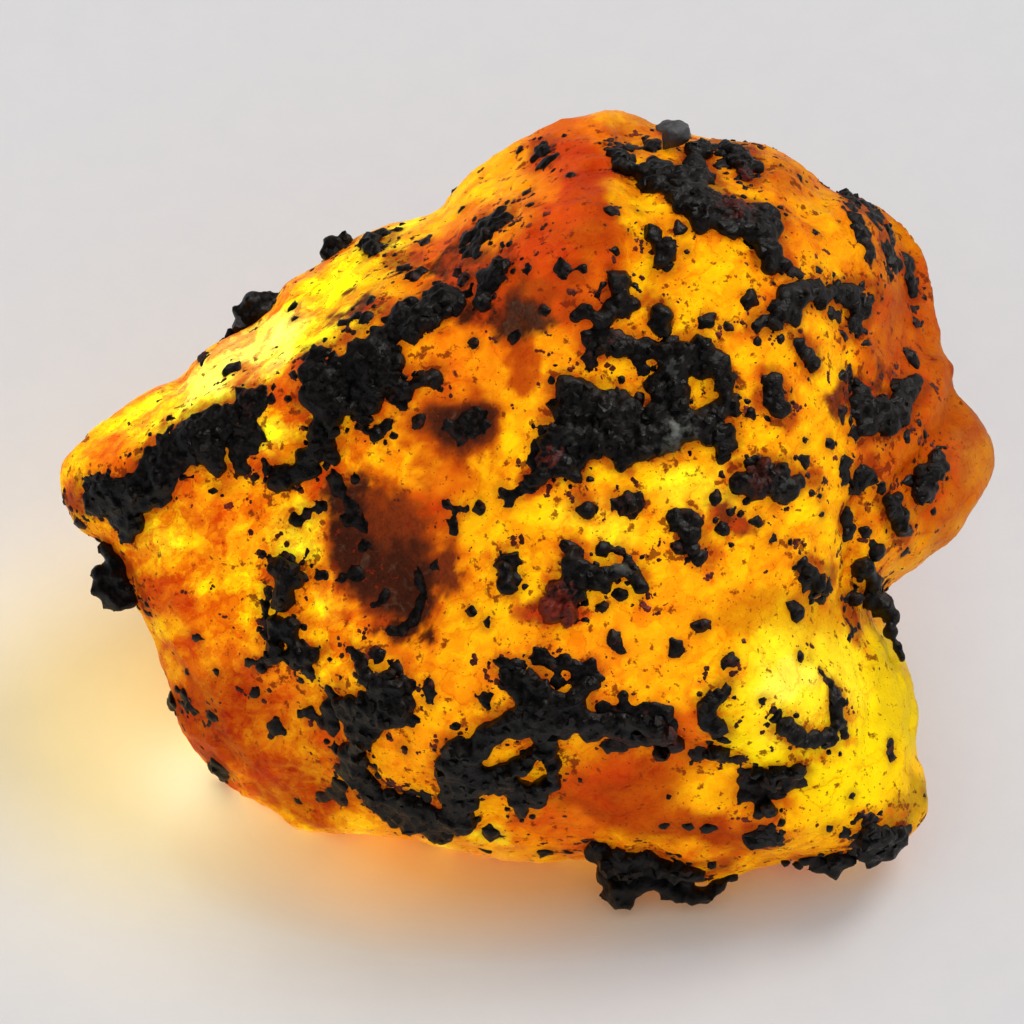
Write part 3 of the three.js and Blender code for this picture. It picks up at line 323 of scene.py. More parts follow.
# Fields of colour on the broad face: colour, a, b, half length, half width, turn, strength.
FIELDS = [
    # broad
    ("gold", 3.2, 1.6, 8, 6, 20, 0.9),
    ("gold", 6.6, 9.6, 2.6, 3.8, -20, 0.9),
    ("honey", 6.2, 9.8, 1.2, 2, 0, 0.5),
    ("honey", 1.2, 5, 2.4, 1.6, 0, 0.6),
    ("orange", -0.6, 6.4, 2.4, 1.8, 0, 0.5),
    ("honey", -1.6, 0.2, 1.5, 2.4, 0, 0.6),
    ("orange", 4.4, -5.4, 2.4, 1.4, 0, 0.6),
    ("honey", 1.4, 5.4, 1.3, 1.6, 0, 0.7),
    ("orange", -2.6, 5.9, 3.4, 1.2, 25, 0.8),
    ("orange", 11.8, 11.8, 2.4, 2.2, -40, 0.7),
    ("bronze", 10.9, 13.2, 1.3, 0.8, -40, 0.7),
    ("gold", 13, 10.4, 0.8, 2.6, 12, 0.3),
    ("bronze", 17, 5.5, 3, 8, 0, 1),
    ("rust", 16.6, 9.4, 1.6, 3, -20, 0.35),
    ("bronze", 16.4, -1, 1.6, 1.2, 0, 0.5),
    ("rust", 15, 6.2, 1.2, 1.6, 0, 0.5),
    ("honey", 15.6, -1.8, 1.4, 1.6, 0, 0.6),
    ("tan", 18.6, 2.4, 0.9, 1.4, 10, 0.5),
    ("tan", 16.9, 9.4, 0.4, 1.4, -10, 0.4),
    ("amber", 6, 9.6, 0.9, 0.9, 0, 0.6),
    ("gold", 12.4, 3.4, 1.2, 5, -8, 0.8),
    ("yellow", 7.4, 0.8, 1.8, 1.2, 0, 0.7),
    ("yellow", 3.2, -0.4, 1.8, 0.9, 0, 0.6),
    ("gold", 12.4, -2.4, 1.8, 1.8, 0, 0.8),
    ("orange", 8, -3.6, 2.6, 1.2, -25, 0.6),
    # the yellow lobe
    ("lemon", 12.2, -8.2, 4.9, 4.4, 0, 1),
    ("amber", 11, -3.9, 3.4, 1.1, -2, 0.9),
    ("yellow", 11.6, -6.8, 2.9, 2.2, 0, 0.9),
    # painted glow of light through the thin lobe, over its own yellow
    ("cream", 11, -6.4, 1.5, 0.8, 10, 0.35),
    ("lemon", 15.2, -7.4, 1.4, 2.6, 0, 0.9),
    ("olive", 15.4, -7, 1.1, 2.6, 0, 0.4),
    ("olive", 16, -11.6, 0.9, 1.3, 0, 0.9),
    ("honey", 8.4, -11.4, 2.8, 1.3, -8, 0.9),
    ("dull", 7, -12.6, 3.4, 1, -8, 1),
    ("gold", 8, -11, 0.8, 0.5, 0, 0.6),
    ("bronze", 9.8, -11.3, 1.8, 1.1, 0, 0.7),
    ("rust", 6.6, -8.9, 1, 1, 0, 0.7),
    # under the front
    ("dull", 4.2, -11, 3.4, 1.8, 15, 1),
    ("red", 3.6, -10.2, 1.4, 0.8, 20, 0.5),
    ("orange", 0.8, -12.8, 2.6, 0.9, 0, 0.8),
    ("rust", 2.8, -13.4, 1.4, 0.6, 0, 0.6),
    ("honey", -2.6, -6.4, 2.2, 3.6, 5, 0.9),
    ("gold", -2.6, -4.8, 1.3, 1.4, 0, 0.7),
    ("orange", -3.9, -9.6, 1.5, 1.4, 0, 0.7),
    ("yellow", -2, -13, 1.8, 0.4, -4, 0.7),
    # the lower left
    ("rust", -10.8, -8, 3.2, 3.6, 30, 1),
    ("dull", -11.6, -7.8, 2, 2.6, 30, 0.9),
    ("bronze", -9.2, -8.8, 2, 1.8, 0, 0.7),
    ("bronze", -8.2, -11.4, 2.2, 1.5, 0, 1),
    ("honey", -6, -12.1, 1.6, 0.7, 0, 0.6),
    ("red", -9.8, -10.4, 0.7, 0.5, 0, 0.5),
    ("orange", -12.2, -4.8, 1.9, 2, 0, 0.8),
    ("rust", -13, -5.8, 1.8, 1.2, 0, 0.5),
    ("orange", -9.2, -3.6, 1.5, 1.6, 0, 0.7),
    ("gold", -7, -4.2, 1.2, 1.8, 0, 0.9),
    ("yellow", -7.2, -3.6, 0.6, 1, 0, 0.7),
    # the left
    ("orange", -12, -0.6, 4.2, 2.2, 0, 0.8),
    ("gold", -14.4, -0.8, 1.6, 1.4, 40, 0.9),
    ("yellow", -14.2, -1.2, 1, 0.8, 40, 0.6),
    ("gold", -10.8, -3.4, 1.6, 1, 0, 0.9),
    ("yellow", -8.4, -0.9, 1.3, 1.5, 0, 1),
    ("yellow", -8.2, -1.2, 0.8, 0.9, 0, 0.6),
    ("red", -14, -3.7, 1.3, 0.8, -25, 0.9),
    ("red", -13.3, 0.6, 1.2, 0.4, -40, 0.5),
    ("rust", -7.2, 1.2, 1.2, 0.5, 25, 0.8),
    ("red", -3.4, 0.3, 1.5, 1.2, -20, 1),
    ("rust", -2.5, 1.3, 0.9, 0.6, 0, 0.8),
    # the bright strip at the upper left, partly the stone's own yellow and partly painted glow of light
    # through its thin edge
    ("gold", -12, 4.6, 5.6, 1.5, 31, 1),
    ("yellow", -10.6, 5.8, 5.4, 1.4, 32, 1),
    ("lemon", -6.4, 9, 3.6, 1.6, 40, 0.9),
    ("cream", -10.2, 6.7, 2.6, 1, 32, 1),
    ("cream", -12.2, 5.2, 1.3, 0.5, 32, 0.8),
    ("yellow", -4.4, 10.8, 1, 0.9, 20, 0.9),
    ("gold", -2.2, 12.2, 2, 1.3, 25, 0.9),
    ("rust", -1.7, 11.7, 1.5, 0.6, 30, 0.7),
    ("orange", -16.2, 2.2, 1, 1.4, 40, 0.8),
    ("rust", -15.6, 1.9, 0.8, 0.4, 0, 0.7),
    ("yellow", -9.4, 3.2, 1.1, 0.8, 20, 1),
    ("red", -8.6, 5.6, 1.3, 0.5, 30, 0.9),
    ("rust", -9.6, 5.4, 1.4, 0.4, 25, 0.6),
    ("red", -2.8, 10.5, 1.6, 0.8, 10, 0.8),
    ("rust", -4.4, 9, 1.3, 0.9, 30, 0.6),
    # the hump
    ("red", 2.4, 11.6, 2.2, 4, -8, 1),
    ("dull", 1.7, 9.7, 1.9, 0.9, 0, 0.8),
    ("dull", 3.2, 11.2, 1.1, 2.6, -4, 0.35),
    ("rust", 3, 9, 1.8, 2.4, 0, 0.9),
    ("dull", 0.6, 10.6, 1.6, 1, 20, 0.7),
    ("orange", 1.4, 13, 0.6, 0.9, 20, 0.6),
    ("orange", -0.6, 7, 1.6, 0.6, 20, 0.5),
    ("red", 0.8, 9.6, 1.8, 1.6, 0, 0.8),
    ("rust", 2.2, 15.2, 2.6, 0.7, 0, 0.9),
    ("orange", 3.4, 15, 0.8, 0.6, -20, 0.7),
    ("bronze", 4.8, 15.2, 1.2, 0.6, -20, 0.4),
    ("gold", 4.9, 11.6, 0.6, 2, 22, 0.8),
    ("red", 1.6, 13.9, 1, 0.9, 0, 0.6),
    ("brown", 3, 10.6, 1, 1, 0, 0.3),
    ("brown", -0.8, 8.6, 1.6, 0.9, 35, 0.6),
    ("brown", 1.2, 9.3, 1.6, 0.6, 0, 0.5),
    ("red", -10.9, 5.7, 0.7, 0.4, 0, 0.7),
]

# Brown stains: colour, a, b, half length, half width, turn.
STAINS = [
    ("rust", -5, -2.2, 3, 3.6, 10),
    ("dull", -4.8, -1.6, 2.3, 3, 12),
    ("dull", 1.4, 1.6, 1.2, 0.6, 35),
    ("brown", -5, -1.8, 2.1, 2.9, 10),
    ("umber", -6.3, 0.2, 0.7, 1.2, 8),
    ("umber", -6.3, -1.4, 0.7, 1.4, 0),
    ("umber", -6.1, -2.2, 0.9, 1, 0),
    ("umber", -4.6, -2.4, 1.5, 1.3, 0),
    ("umber", -3.6, -3.3, 0.6, 1.4, -8),
    ("brown", -2.7, -2.5, 0.6, 0.9, 0),
    ("umber", -4.6, -4.6, 1.1, 0.5, 10),
    ("dull", -5.1, -4.4, 0.6, 0.35, 20),
    ("umber", -6.9, 0.9, 0.35, 0.8, 10),
    ("dull", -2, 3.5, 2.3, 1.9, 0),
    ("brown", -1.8, 3.5, 1.6, 1.3, 10),
    ("umber", -1.9, 3.5, 1.3, 1, 0),
    ("dull", -0.4, 8.2, 2.2, 1.3, 15),
    ("brown", 0.2, 7.9, 1.6, 1.2, 30),
    ("umber", -1.2, 7.6, 0.9, 0.5, 30),
    ("umber", 0.3, 7.6, 1.3, 0.9, 30),
    ("smoke", 0.5, 7.8, 1.1, 0.6, 15),
    ("smoke", 0.2, 7, 0.45, 0.6, 0),
    ("umber", -2.5, 9.3, 1.3, 0.5, 40),
    ("brown", -2.2, 8.9, 1.6, 0.8, 35),
    ("brown", -6.2, 8.1, 1, 0.42, 40),
    ("umber", -6.3, 8.1, 0.7, 0.25, 40),
    ("brown", 1.4, -4, 1.1, 0.8, 0),
    ("red", 1.8, -4.2, 1.2, 0.5, 0),
    ("brown", 13.1, 4.4, 0.9, 0.7, 0),
    ("brown", 14, 4.9, 0.8, 0.4, 0),
    ("brown", 8.7, -0.2, 0.8, 0.6, 0),
    ("rust", 7.4, -8.6, 0.9, 0.8, 0),
    ("rust", -14.2, 2.4, 1.6, 0.4, 40),
    ("rust", 2, -12.4, 1.7, 0.7, 0),
    ("dull", 0.5, 5.9, 0.9, 0.9, 0),
]

# How much fine dark grain each colour of stain has.
STAIN_TEXTURE = {"rust": 0.1, "dull": 0.2, "red": 0.3, "brown": 0.7, "umber": 1.0, "smoke": 1.0}

# The lemon yellow lobe, whose patches stay yellow: a, b, half length, half width, turn.
LOBE = (12.8, -8.4, 5.0, 4.6, 0)

# Edges with painted shade on their left: how much, how far it reaches, and [a, b] points.
SHADED_EDGES = [
    (0.26, 3, [(12.2, 15), (13.3, 12.6), (14.1, 10.4), (14.45, 8.2), (13.9, 6.2)]),
    (0.22, 2, [(17.5, 5.6), (17.2, 4.2), (16.6, 3.1), (15.6, 1.9), (14.2, 1.1)]),
    (0.15, 2.6, [(4.9, 8.8), (4.5, 10.4), (4.4, 12), (4, 13.4), (3.2, 14.6)]),
]


def paint_skin():
    """Each corner's colour, and how brown, how near the lobe and how full of patches it is."""
    local = skin_local
    a, b, c = local.T
    warp_a = fractal(local, 2.6, 4, 61.0)
    warp_b = fractal(local, 2.6, 4, 83.0)
    bent_a = a + 0.75 * warp_a
    bent_b = b + 0.75 * warp_b
    palette = {name: linear(value) for name, value in COLOURS.items()}
    tint = np.tile(palette["honey"], (len(a), 1))
    for name, *oval, strength in FIELDS:
        weight = strength * (1 - smoothstep(0.55, 1.3, oval_distance(bent_a, bent_b, *oval)))
        tint += (palette[name] - tint) * weight[:, None]
    wavy = 0.3 * fractal(local, 1.2, 3, 261.0)
    # painted shade: the tint darkened on the left of each edge
    for darkening, reach, line in SHADED_EDGES:
        distance, left = line_distance(line, a + wavy, b)
        fade = np.exp(-((distance / reach) ** 2)) * left * smoothstep(0, 0.25, distance)
        tint *= 1 - (darkening * fade)[:, None] * np.array([0.8, 1.3, 1.0])
    # stains have ragged edges
    ragged = fractal(local, 0.9, 4, 301.0)
    ragged_too = fractal(local, 0.9, 4, 331.0)
    patchy = fractal(local, 0.7, 3, 351.0)
    brown = np.zeros(len(a))
    for name, *oval in STAINS:
        distance = oval_distance(bent_a + 0.45 * ragged, bent_b + 0.45 * ragged_too, *oval)
        weight = 1 - smoothstep(0.6, 1.25, distance - 0.25 * patchy)
        # like a thickness of tinted glass, so that the edges of a stain are redder
        share = (0.9 * weight)[:, None]
        tint = tint ** (1 - share) * palette[name] ** share
        brown = np.maximum(brown, weight * STAIN_TEXTURE[name])
    # the other sides: the same colours, laid out by noise
    rear = np.tile(palette["honey"], (len(a), 1))
    layout = [("gold", 5.0, 0.1, 101.0), ("rust", 6.0, 0.15, 131.0), ("yellow", 5.0, 0.3, 151.0),
              ("red", 3.6, 0.32, 171.0), ("brown", 3.0, 0.42, 191.0)]
    for name, size, level, shift in layout:
        field = fractal(local, size, 4, shift)
        weight = smoothstep(level, level + 0.3, field)
        rear += (palette[name] - rear) * weight[:, None]
    facing = skin_normals @ np.array(OUT)
    front = smoothstep(-0.45, 0.0, facing)
    lobe = 1 - smoothstep(0.7, 1.1, oval_distance(bent_a, bent_b, *LOBE))
    # the patches are plainest in the middle and at the right of the broad face
    lively = 1 - 0.6 * smoothstep(-8, -3, a) * front
    return rear + (tint - rear) * front[:, None], brown * front, lobe * front, lively


skin_tint, skin_brown, skin_lobe, skin_lively = paint_skin()


def crust_tree():
    """All the CAD crusts in one tree."""
    corners = []
    faces = []
    for name in crust_names:
        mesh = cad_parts[name].data
        start = len(corners)
        corners.extend(v.co.copy() for v in mesh.vertices)
        faces.extend([start + i for i in f.vertices] for f in mesh.polygons)
    return BVHTree.FromPolygons(corners, faces)


# How far each corner of the skin is from the nearest crust, in millimetres.
crusts_together = crust_tree()
near_crust = np.array([crusts_together.find_nearest(Vector(p))[3] for p in skin_points]) / MM


# ---------------------------------------------------------------- crystals


def random_turn():
    return np.array(Euler([rng.uniform(0, math.tau) for _ in range(3)]).to_matrix())


def random_step():
    return Vector((rng.gauss(0, 1), rng.gauss(0, 1), rng.gauss(0, 1)))


def crystal_shape(cuts):
    """One blocky crystal about 1 in radius: a cube trimmed by planes, as corners and faces."""
    work = bmesh.new()
    bmesh.ops.create_cube(work, size=1.7)
    planes = [Vector((x, y, z)) for x in (-1, 1) for y in (-1, 1) for z in (-1, 1)]
    rng.shuffle(planes)
    for plane in planes[:cuts]:
        wobble = Vector((rng.uniform(-0.5, 0.5), rng.uniform(-0.5, 0.5), rng.uniform(-0.5, 0.5)))
        normal = (plane + wobble).normalized()
        geometry = work.verts[:] + work.edges[:] + work.faces[:]
        cut = bmesh.ops.bisect_plane(work, geom=geometry, plane_co=normal * rng.uniform(0.78, 0.98),
                                     plane_no=normal, clear_outer=True)
        edges = [e for e in cut["geom_cut"] if isinstance(e, bmesh.types.BMEdge)]
        if len(edges) > 2:
            bmesh.ops.contextual_create(work, geom=edges)
    bmesh.ops.remove_doubles(work, verts=work.verts, dist=0.02)
    corners = np.array([v.co for v in work.verts])
    faces = [[v.index for v in f.verts] for f in work.faces]
    work.free()
    return corners, faces


SHAPES = [crystal_shape(rng.choice((5, 6, 7, 8))) for _ in range(24)]


def thinned(places, spacing):
    """The indices of places in metres, taken in turn, that keep a spacing from each other."""
    cells = {}
    kept = []
    least = (spacing * MM) ** 2
    keys = np.floor(places / (spacing * MM)).astype(int)
    steps = [(x, y, z) for x in (-1, 0, 1) for y in (-1, 0, 1) for z in (-1, 0, 1)]
    for i, ((x, y, z), (px, py, pz)) in enumerate(zip(keys.tolist(), places.tolist())):
        near = [cell for dx, dy, dz in steps for cell in cells.get((x + dx, y + dy, z + dz), ())]
        if all((px - qx) ** 2 + (py - qy) ** 2 + (pz - qz) ** 2 > least for qx, qy, qz in near):
            cells.setdefault((x, y, z), []).append((px, py, pz))
            kept.append(i)
    return kept


class Heap:
    """Crystals gathered into one mesh."""

    def __init__(self):
        self.corners = []
        self.faces = []
        self.shades = []
        self.count = 0

    def add(self, corners, faces, shade):
        self.corners.append(corners)
        self.faces.extend([i + self.count for i in face] for face in faces)
        self.shades.append(np.full(len(corners), shade))
        self.count += len(corners)

    def crystal(self, place, normal, radius, flat, shade, sink=0.25):
        """A crystal of a radius in millimetres, grown on the skin at a place in metres."""
        corners, faces = rng.choice(SHAPES)
        turn = random_turn()
        stretch = np.array([rng.uniform(0.8, 1.2), rng.uniform(0.8, 1.1), rng.uniform(0.8, 1.1)])
        turned = (corners * stretch) @ turn.T * radius * MM
        n = np.array(normal)
        turned -= np.outer(turned @ n, n) * (1 - flat)
        centre = np.array(place) - n * (sink * radius * MM)
        self.add(turned + centre, faces, shade)

    def block(self, foot, normal, height, radius, shade):
        """A crystal that stands on the skin at a place in metres, with its height in millimetres."""
        corners, faces = rng.choice(SHAPES)
        turned = corners @ random_turn().T
        n = np.array(normal)
        along = np.outer(turned @ n, n)
        half = (height - BLOCK_ROOT) / 2
        centre = np.array(foot) + n * ((height + BLOCK_ROOT) / 2 * MM)
        self.add(centre + (turned - along) * radius * MM + along * half * MM, faces, shade)

    def mesh(self, name):
        mesh = bpy.data.meshes.new(name)
        mesh.from_pydata(np.concatenate(self.corners), [], self.faces)
        mesh.update()
        store_value(mesh, "shade", np.concatenate(self.shades))
        return mesh


def top_samples(mesh, spacing):
    """Places scattered evenly over a crust's mesh, on the sides that face away from the stone."""
    mesh.calc_loop_triangles()
    points = read_points(mesh)
    triangles = np.array([t.vertices[:] for t in mesh.loop_triangles])
    p, q, r = (points[triangles[:, k]] for k in range(3))
    normals = np.cross(q - p, r - p)
    areas = np.linalg.norm(normals, axis=1) / 2
    normals /= np.maximum(areas * 2, 1e-18)[:, None]
    centres = (p + q + r) / 3
    outward = [skin_tree.find_nearest(Vector(centre))[1] for centre in centres]
    areas *= (normals * np.array(outward)).sum(axis=1) > 0.15
    total = areas.sum()
    tries = int(total / (spacing * MM) ** 2 * 14) + 12
    chosen = np.array(rng.choices(range(len(areas)), weights=areas, k=tries))
    u, v = np.array([(rng.random(), rng.random()) for _ in chosen]).T
    over = u + v > 1
    u = np.where(over, 1 - u, u)[:, None]
    v = np.where(over, 1 - v, v)[:, None]
    places = p[chosen] + u * (q[chosen] - p[chosen]) + v * (r[chosen] - p[chosen])
    return [(places[k], outward[chosen[k]]) for k in thinned(places, spacing)]


# Small openings in the crusts, where the skin shows: a, b, radius.
OPENINGS = [
    (-12.6, 1.7, 0.45), (-11.4, 2.7, 0.35), (-6.5, 5.3, 0.4), (-6.7, 4.8, 0.3), (4, 5.3, 0.35),
    (5.1, 5.1, 0.45), (5, 4.5, 0.3), (8.4, 13.2, 0.35), (8.8, 12.9, 0.35), (9.1, 12.6, 0.3),
    (2, -9.2, 0.25), (7, 14.5, 0.4), (6.5, 14.5, 0.4), (9.1, 6, 0.5), (9.2, 5.1, 0.45), (9.25, 4.2, 0.4),
    (9.1, 3, 0.35), (8.9, 6.7, 0.4), (11.3, 11.3, 0.35), (11.2, 10.5, 0.35), (9.4, 15.1, 0.4),
    (8.4, 15.2, 0.35), (5.2, 13, 0.3), (-5, 11, 0.45), (-4.2, 10.3, 0.4), (-3.8, 10.2, 0.35),
    (-5, 10.1, 0.35), (-6.1, 10.8, 0.3), (-4.5, 8.7, 0.4), (-3.8, 9, 0.4), (-6.6, 7, 0.35),
    (-7.6, 6.7, 0.35), (-8.5, 5.8, 0.3), (-3.4, 5.9, 0.4), (-2.7, 5.9, 0.35), (-4.2, 5.4, 0.35),
    (-8.2, 3.7, 0.35), (-13.4, 3.8, 0.3), (-12.3, 4.3, 0.3), (-14.4, 3, 0.3), (-17.6, 0.8, 0.3),
    (13.5, -3.6, 0.5), (7.2, -10.3, 0.3), (6.7, -9.4, 0.3), (8.2, -10.4, 0.3), (0.4, -6.9, 0.25),
    (11.3, -8.2, 0.3), (11.9, -8.6, 0.25), (1.5, -9, 0.2), (12.2, 5.8, 0.3), (6.4, -13.7, 0.75),
    (7.2, -13.9, 0.75), (8, -14, 0.75), (8.7, -14.1, 0.6), (5.8, -13.4, 0.5), (-15.5, -1.9, 0.6),
    (-15.4, -2.6, 0.6), (-15, -3.3, 0.6), (13.8, -4.5, 0.9), (15.9, -2.4, 0.6), (15.4, -3.1, 0.4),
    (-3.5, 12.2, 0.7), (-2.5, 12.9, 0.7), (-6.8, 6.5, 0.35), (-5.9, 7.4, 0.35), (3.9, 13.6, 0.35),
    (3.8, 14.4, 0.35), (4.6, 5.3, 0.5), (4.9, 4.8, 0.35), (-5.4, 8, 0.4), (-8, 6.5, 0.35),
    (-13, 4.1, 0.35), (-14, 3.5, 0.3), (14.6, 8.9, 0.3), (16.6, 4.4, 0.3), (4.1, 15.1, 0.4),
    (4.7, 13.6, 0.4), (5.5, 13, 0.35), (11.2, 11.8, 0.35), (11.2, 11, 0.3), (-17.6, 0.2, 0.45),
]

# Crusts whose crystals lean to one side of their feet: a, b, in millimetres.
LEANING = {
    "crust_rim_left": (-0.45, -0.4),
    "crust_left_band": (0.05, -0.1),
    "crust_ridge": (0, -0.15),
    "crust_upper_sliver": (0.3, -0.5),
    "crust_shoulder": (-0.25, -0.1),
    "crust_right": (-0.15, 0.1),
    "crust_lobe_ring": (-0.2, 0.1),
    "crust_crown": (-0.2, -0.15),
    "crust_hump_top": (0.3, -0.5),
    "crust_behind_shoulder": (-0.6, -1.1),
    "crust_right_rim": (-0.45, 0),
    "crust_right_tip": (-0.15, 0.15),
    "crust_right_mid": (0.05, 0.15),
    "crust_rim_upper": (-0.2, 0.2),
    "crust_rim_top": (-0.1, 0.1),
    "crust_rim_knob": (-0.2, 0.2),
    "crust_notch_low": (0.3, -0.2),
    "crust_centre": (0.05, -0.05),
    "crust_low_left_high": (-0.15, 0.05),
    "crust_lobe_hook": (-0.15, 0),
    "crust_notch": (0.45, -0.2),
}

USUAL_LEAN = (0.0, -0.2)

# Crystals below a crust that hangs over the floor: a, b, c, radius.
HANGING = {
    "crust_hanging": [
        (3.8, -14.5, -0.1, 0.5), (4.3, -15, 0, 0.55), (4.1, -15.3, -0.2, 0.5), (4.6, -15.5, -0.3, 0.4),
        (4.3, -15.6, -0.2, 0.35), (5, -14.9, 0.1, 0.5), (5.5, -14.7, 0.1, 0.5), (6.1, -15, 0, 0.5),
        (6.7, -15.3, -0.1, 0.4), (7.2, -15.4, -0.2, 0.4), (7.7, -15.3, -0.2, 0.35), (8.2, -15, -0.2, 0.4),
        (6.9, -14.9, 0, 0.4), (8.8, -14.6, -0.3, 0.3), (6.2, -15.4, -0.1, 0.25), (5.3, -14.1, 0.3, 0.4),
    ],
    "crust_bottom_right": [(15, -13.6, 0.6, 0.4), (15.5, -13.1, 0.6, 0.4), (14.4, -13.9, 0.5, 0.35),
                           (15.7, -12.6, 0.6, 0.35), (13.6, -13.3, 0.9, 0.35)],
    "crust_bottom_right_low": [(12.2, -14.2, 0.3, 0.3), (12.9, -14.4, 0.3, 0.35), (11.5, -14.1, 0.3, 0.25),
                               (13.3, -14, 0.3, 0.3), (10.9, -14, 0.3, 0.2)],
}

# Crystals at the rim, which stand out from it in front of the floor: a, b, radius.
RIM = {
    "crust_notch": [(14.3, -3.5, 0.4), (14.9, -3.8, 0.45), (15.2, -4.2, 0.45), (15.1, -4.8, 0.35),
                    (15.4, -5.4, 0.26), (15.6, -5.8, 0.2)],
    "crust_rim_left": [(-16.5, -2.5, 0.45), (-16.5, -3.1, 0.45), (-15.9, -3.4, 0.5), (-15.3, -3.6, 0.35),
                       (-16.3, -1.5, 0.3), (-16, -1.9, 0.3)],
    "crust_rim_knob": [(-10.4, 8.4, 0.45), (-10.8, 8, 0.4), (-9.9, 8.5, 0.35)],
    "crust_rim_upper": [(-7.2, 10.8, 0.4), (-6.7, 10.9, 0.35), (-7.5, 10.4, 0.3)],
}

# Parts of the crusts with painted glow, as of light through thin mineral, or pale where the amount is
# negative, partly grey mineral and partly painted highlight: a, b, radius, amount.
GLOW_AND_PALE_SPOTS = [
    (1.6, -3.7, 1.2, 1), (2.4, -4.2, 0.8, 0.9), (7.5, 4.8, 0.7, 0.8), (1.5, 2.2, 0.5, 0.8),
    (9.2, 13, 1.2, 0.7), (10, 1.5, 1, 0.5), (-10.4, 4.2, 0.8, 0.4), (6.3, -9.4, 0.7, 0.5),
    (13.3, 4.4, 0.8, 0.6), (-6.6, 0.2, 0.9, 0.5), (-4.4, -3.2, 1.8, 0.5), (10.6, 0.4, 0.6, 0.5),
    (-6.6, -2.6, 1, 0.4), (-12.2, 4.4, 0.6, 0.3), (10.1, -10.2, 0.6, 0.3), (-0.4, 7.8, 1.2, 0.5),
    (6.3, 3.2, 0.7, -1), (3.1, 3.9, 0.45, -0.8), (2.2, 3.3, 0.6, -0.5), (4.6, 3.6, 0.9, -0.4),
    (7.9, 3.6, 0.5, -0.4), (6.5, 5.8, 0.4, -0.6), (4.2, -2.2, 0.5, -0.9), (9.6, -10.2, 0.6, -0.8),
    (10.6, -9.9, 0.4, -0.7), (10.9, 1.2, 0.4, -0.7), (-9.6, 2.6, 0.6, -0.4), (8.6, 12.6, 0.5, -0.3),
]


def in_opening(place):
    a, b, _ = to_face([place])[0]
    return any(math.hypot(a - hole_a, b - hole_b) < radius for hole_a, hole_b, radius in OPENINGS)


def glow_and_pale_at(place):
    """How much painted glow a place on a crust has, as of light through thin mineral: the strongest of the
    spots there, or below 0 where it is pale, partly grey mineral and partly painted highlight.
    """
    a, b, _ = to_face([place])[0]
    strongest = 0.0
    for spot_a, spot_b, radius, amount in GLOW_AND_PALE_SPOTS:
        here = amount * math.exp(-(math.hypot(a - spot_a, b - spot_b) / radius) ** 2)
        if abs(here) > abs(strongest):
            strongest = here
    return strongest


def well_inside(tree, place, normal):
    """Whether a crust goes on for a little way all round a place on it."""
    side = normal.orthogonal().normalized()
    turn = Matrix.Rotation(math.tau / 6, 3, normal)
    for _ in range(6):
        start = place + side * INSET * MM + normal * 2 * MM
        if tree.ray_cast(start, -normal, 3.2 * MM)[0] is None:
            return False
        side = turn @ side
    return True


def fused(name, mesh, voxel, smoothing):
    """The crystals of a mesh grown into one lumpy body, which keeps their painted glow and pale parts."""
    tree = kdtree.KDTree(len(mesh.vertices))
    for i, point in enumerate(read_points(mesh)):
        tree.insert(point, i)
    tree.balance()
    shades = np.empty(len(mesh.vertices), dtype=np.float32)
    mesh.attributes["shade"].data.foreach_get("value", shades)
    lump = new_object(name, mesh)
    remeshed(lump, voxel, smoothing)
    points = read_points(lump.data)
    store_value(lump.data, "shade", [shades[tree.find(p)[1]] for p in points])
    local = to_face(points)
    height = 0.07 * fractal(local, 0.5, 2, 501.0)
    points += read_normals(lump.data) * (height * MM)[:, None]
    points[:, 2] = np.maximum(points[:, 2], 0.02 * MM)
    write_points(lump.data, points)
    return lump


def crystals_of(node):
    return "crystals_" + node.removeprefix("crust_")


def growth(normal):
    """The direction in which a crystal grows where the skin has a normal."""
    facing = min(max((normal.dot(OUT) - 0.1) / 0.3, 0), 1)
    return normal.lerp(OUT, OUTWARD * facing).normalized()


def footings(node, mesh, spacing):
    """The foot on the skin, its normal, the height and the painted glow and paleness of crystals all over
    a crust.
    """
    tree = tree_of(mesh)
    lean_a, lean_b = LEANING.get(node, USUAL_LEAN)
    lean = RIGHT * (lean_a * MM) + UP * (lean_b * MM)
    for place, normal in top_samples(mesh, spacing):
        if not in_opening(place) and well_inside(tree, Vector(place), normal):
            foot, _, _, height = skin_tree.find_nearest(Vector(place))
            foot, normal, _, _ = skin_tree.find_nearest(foot + lean)
            yield foot, normal, height, glow_and_pale_at(place)


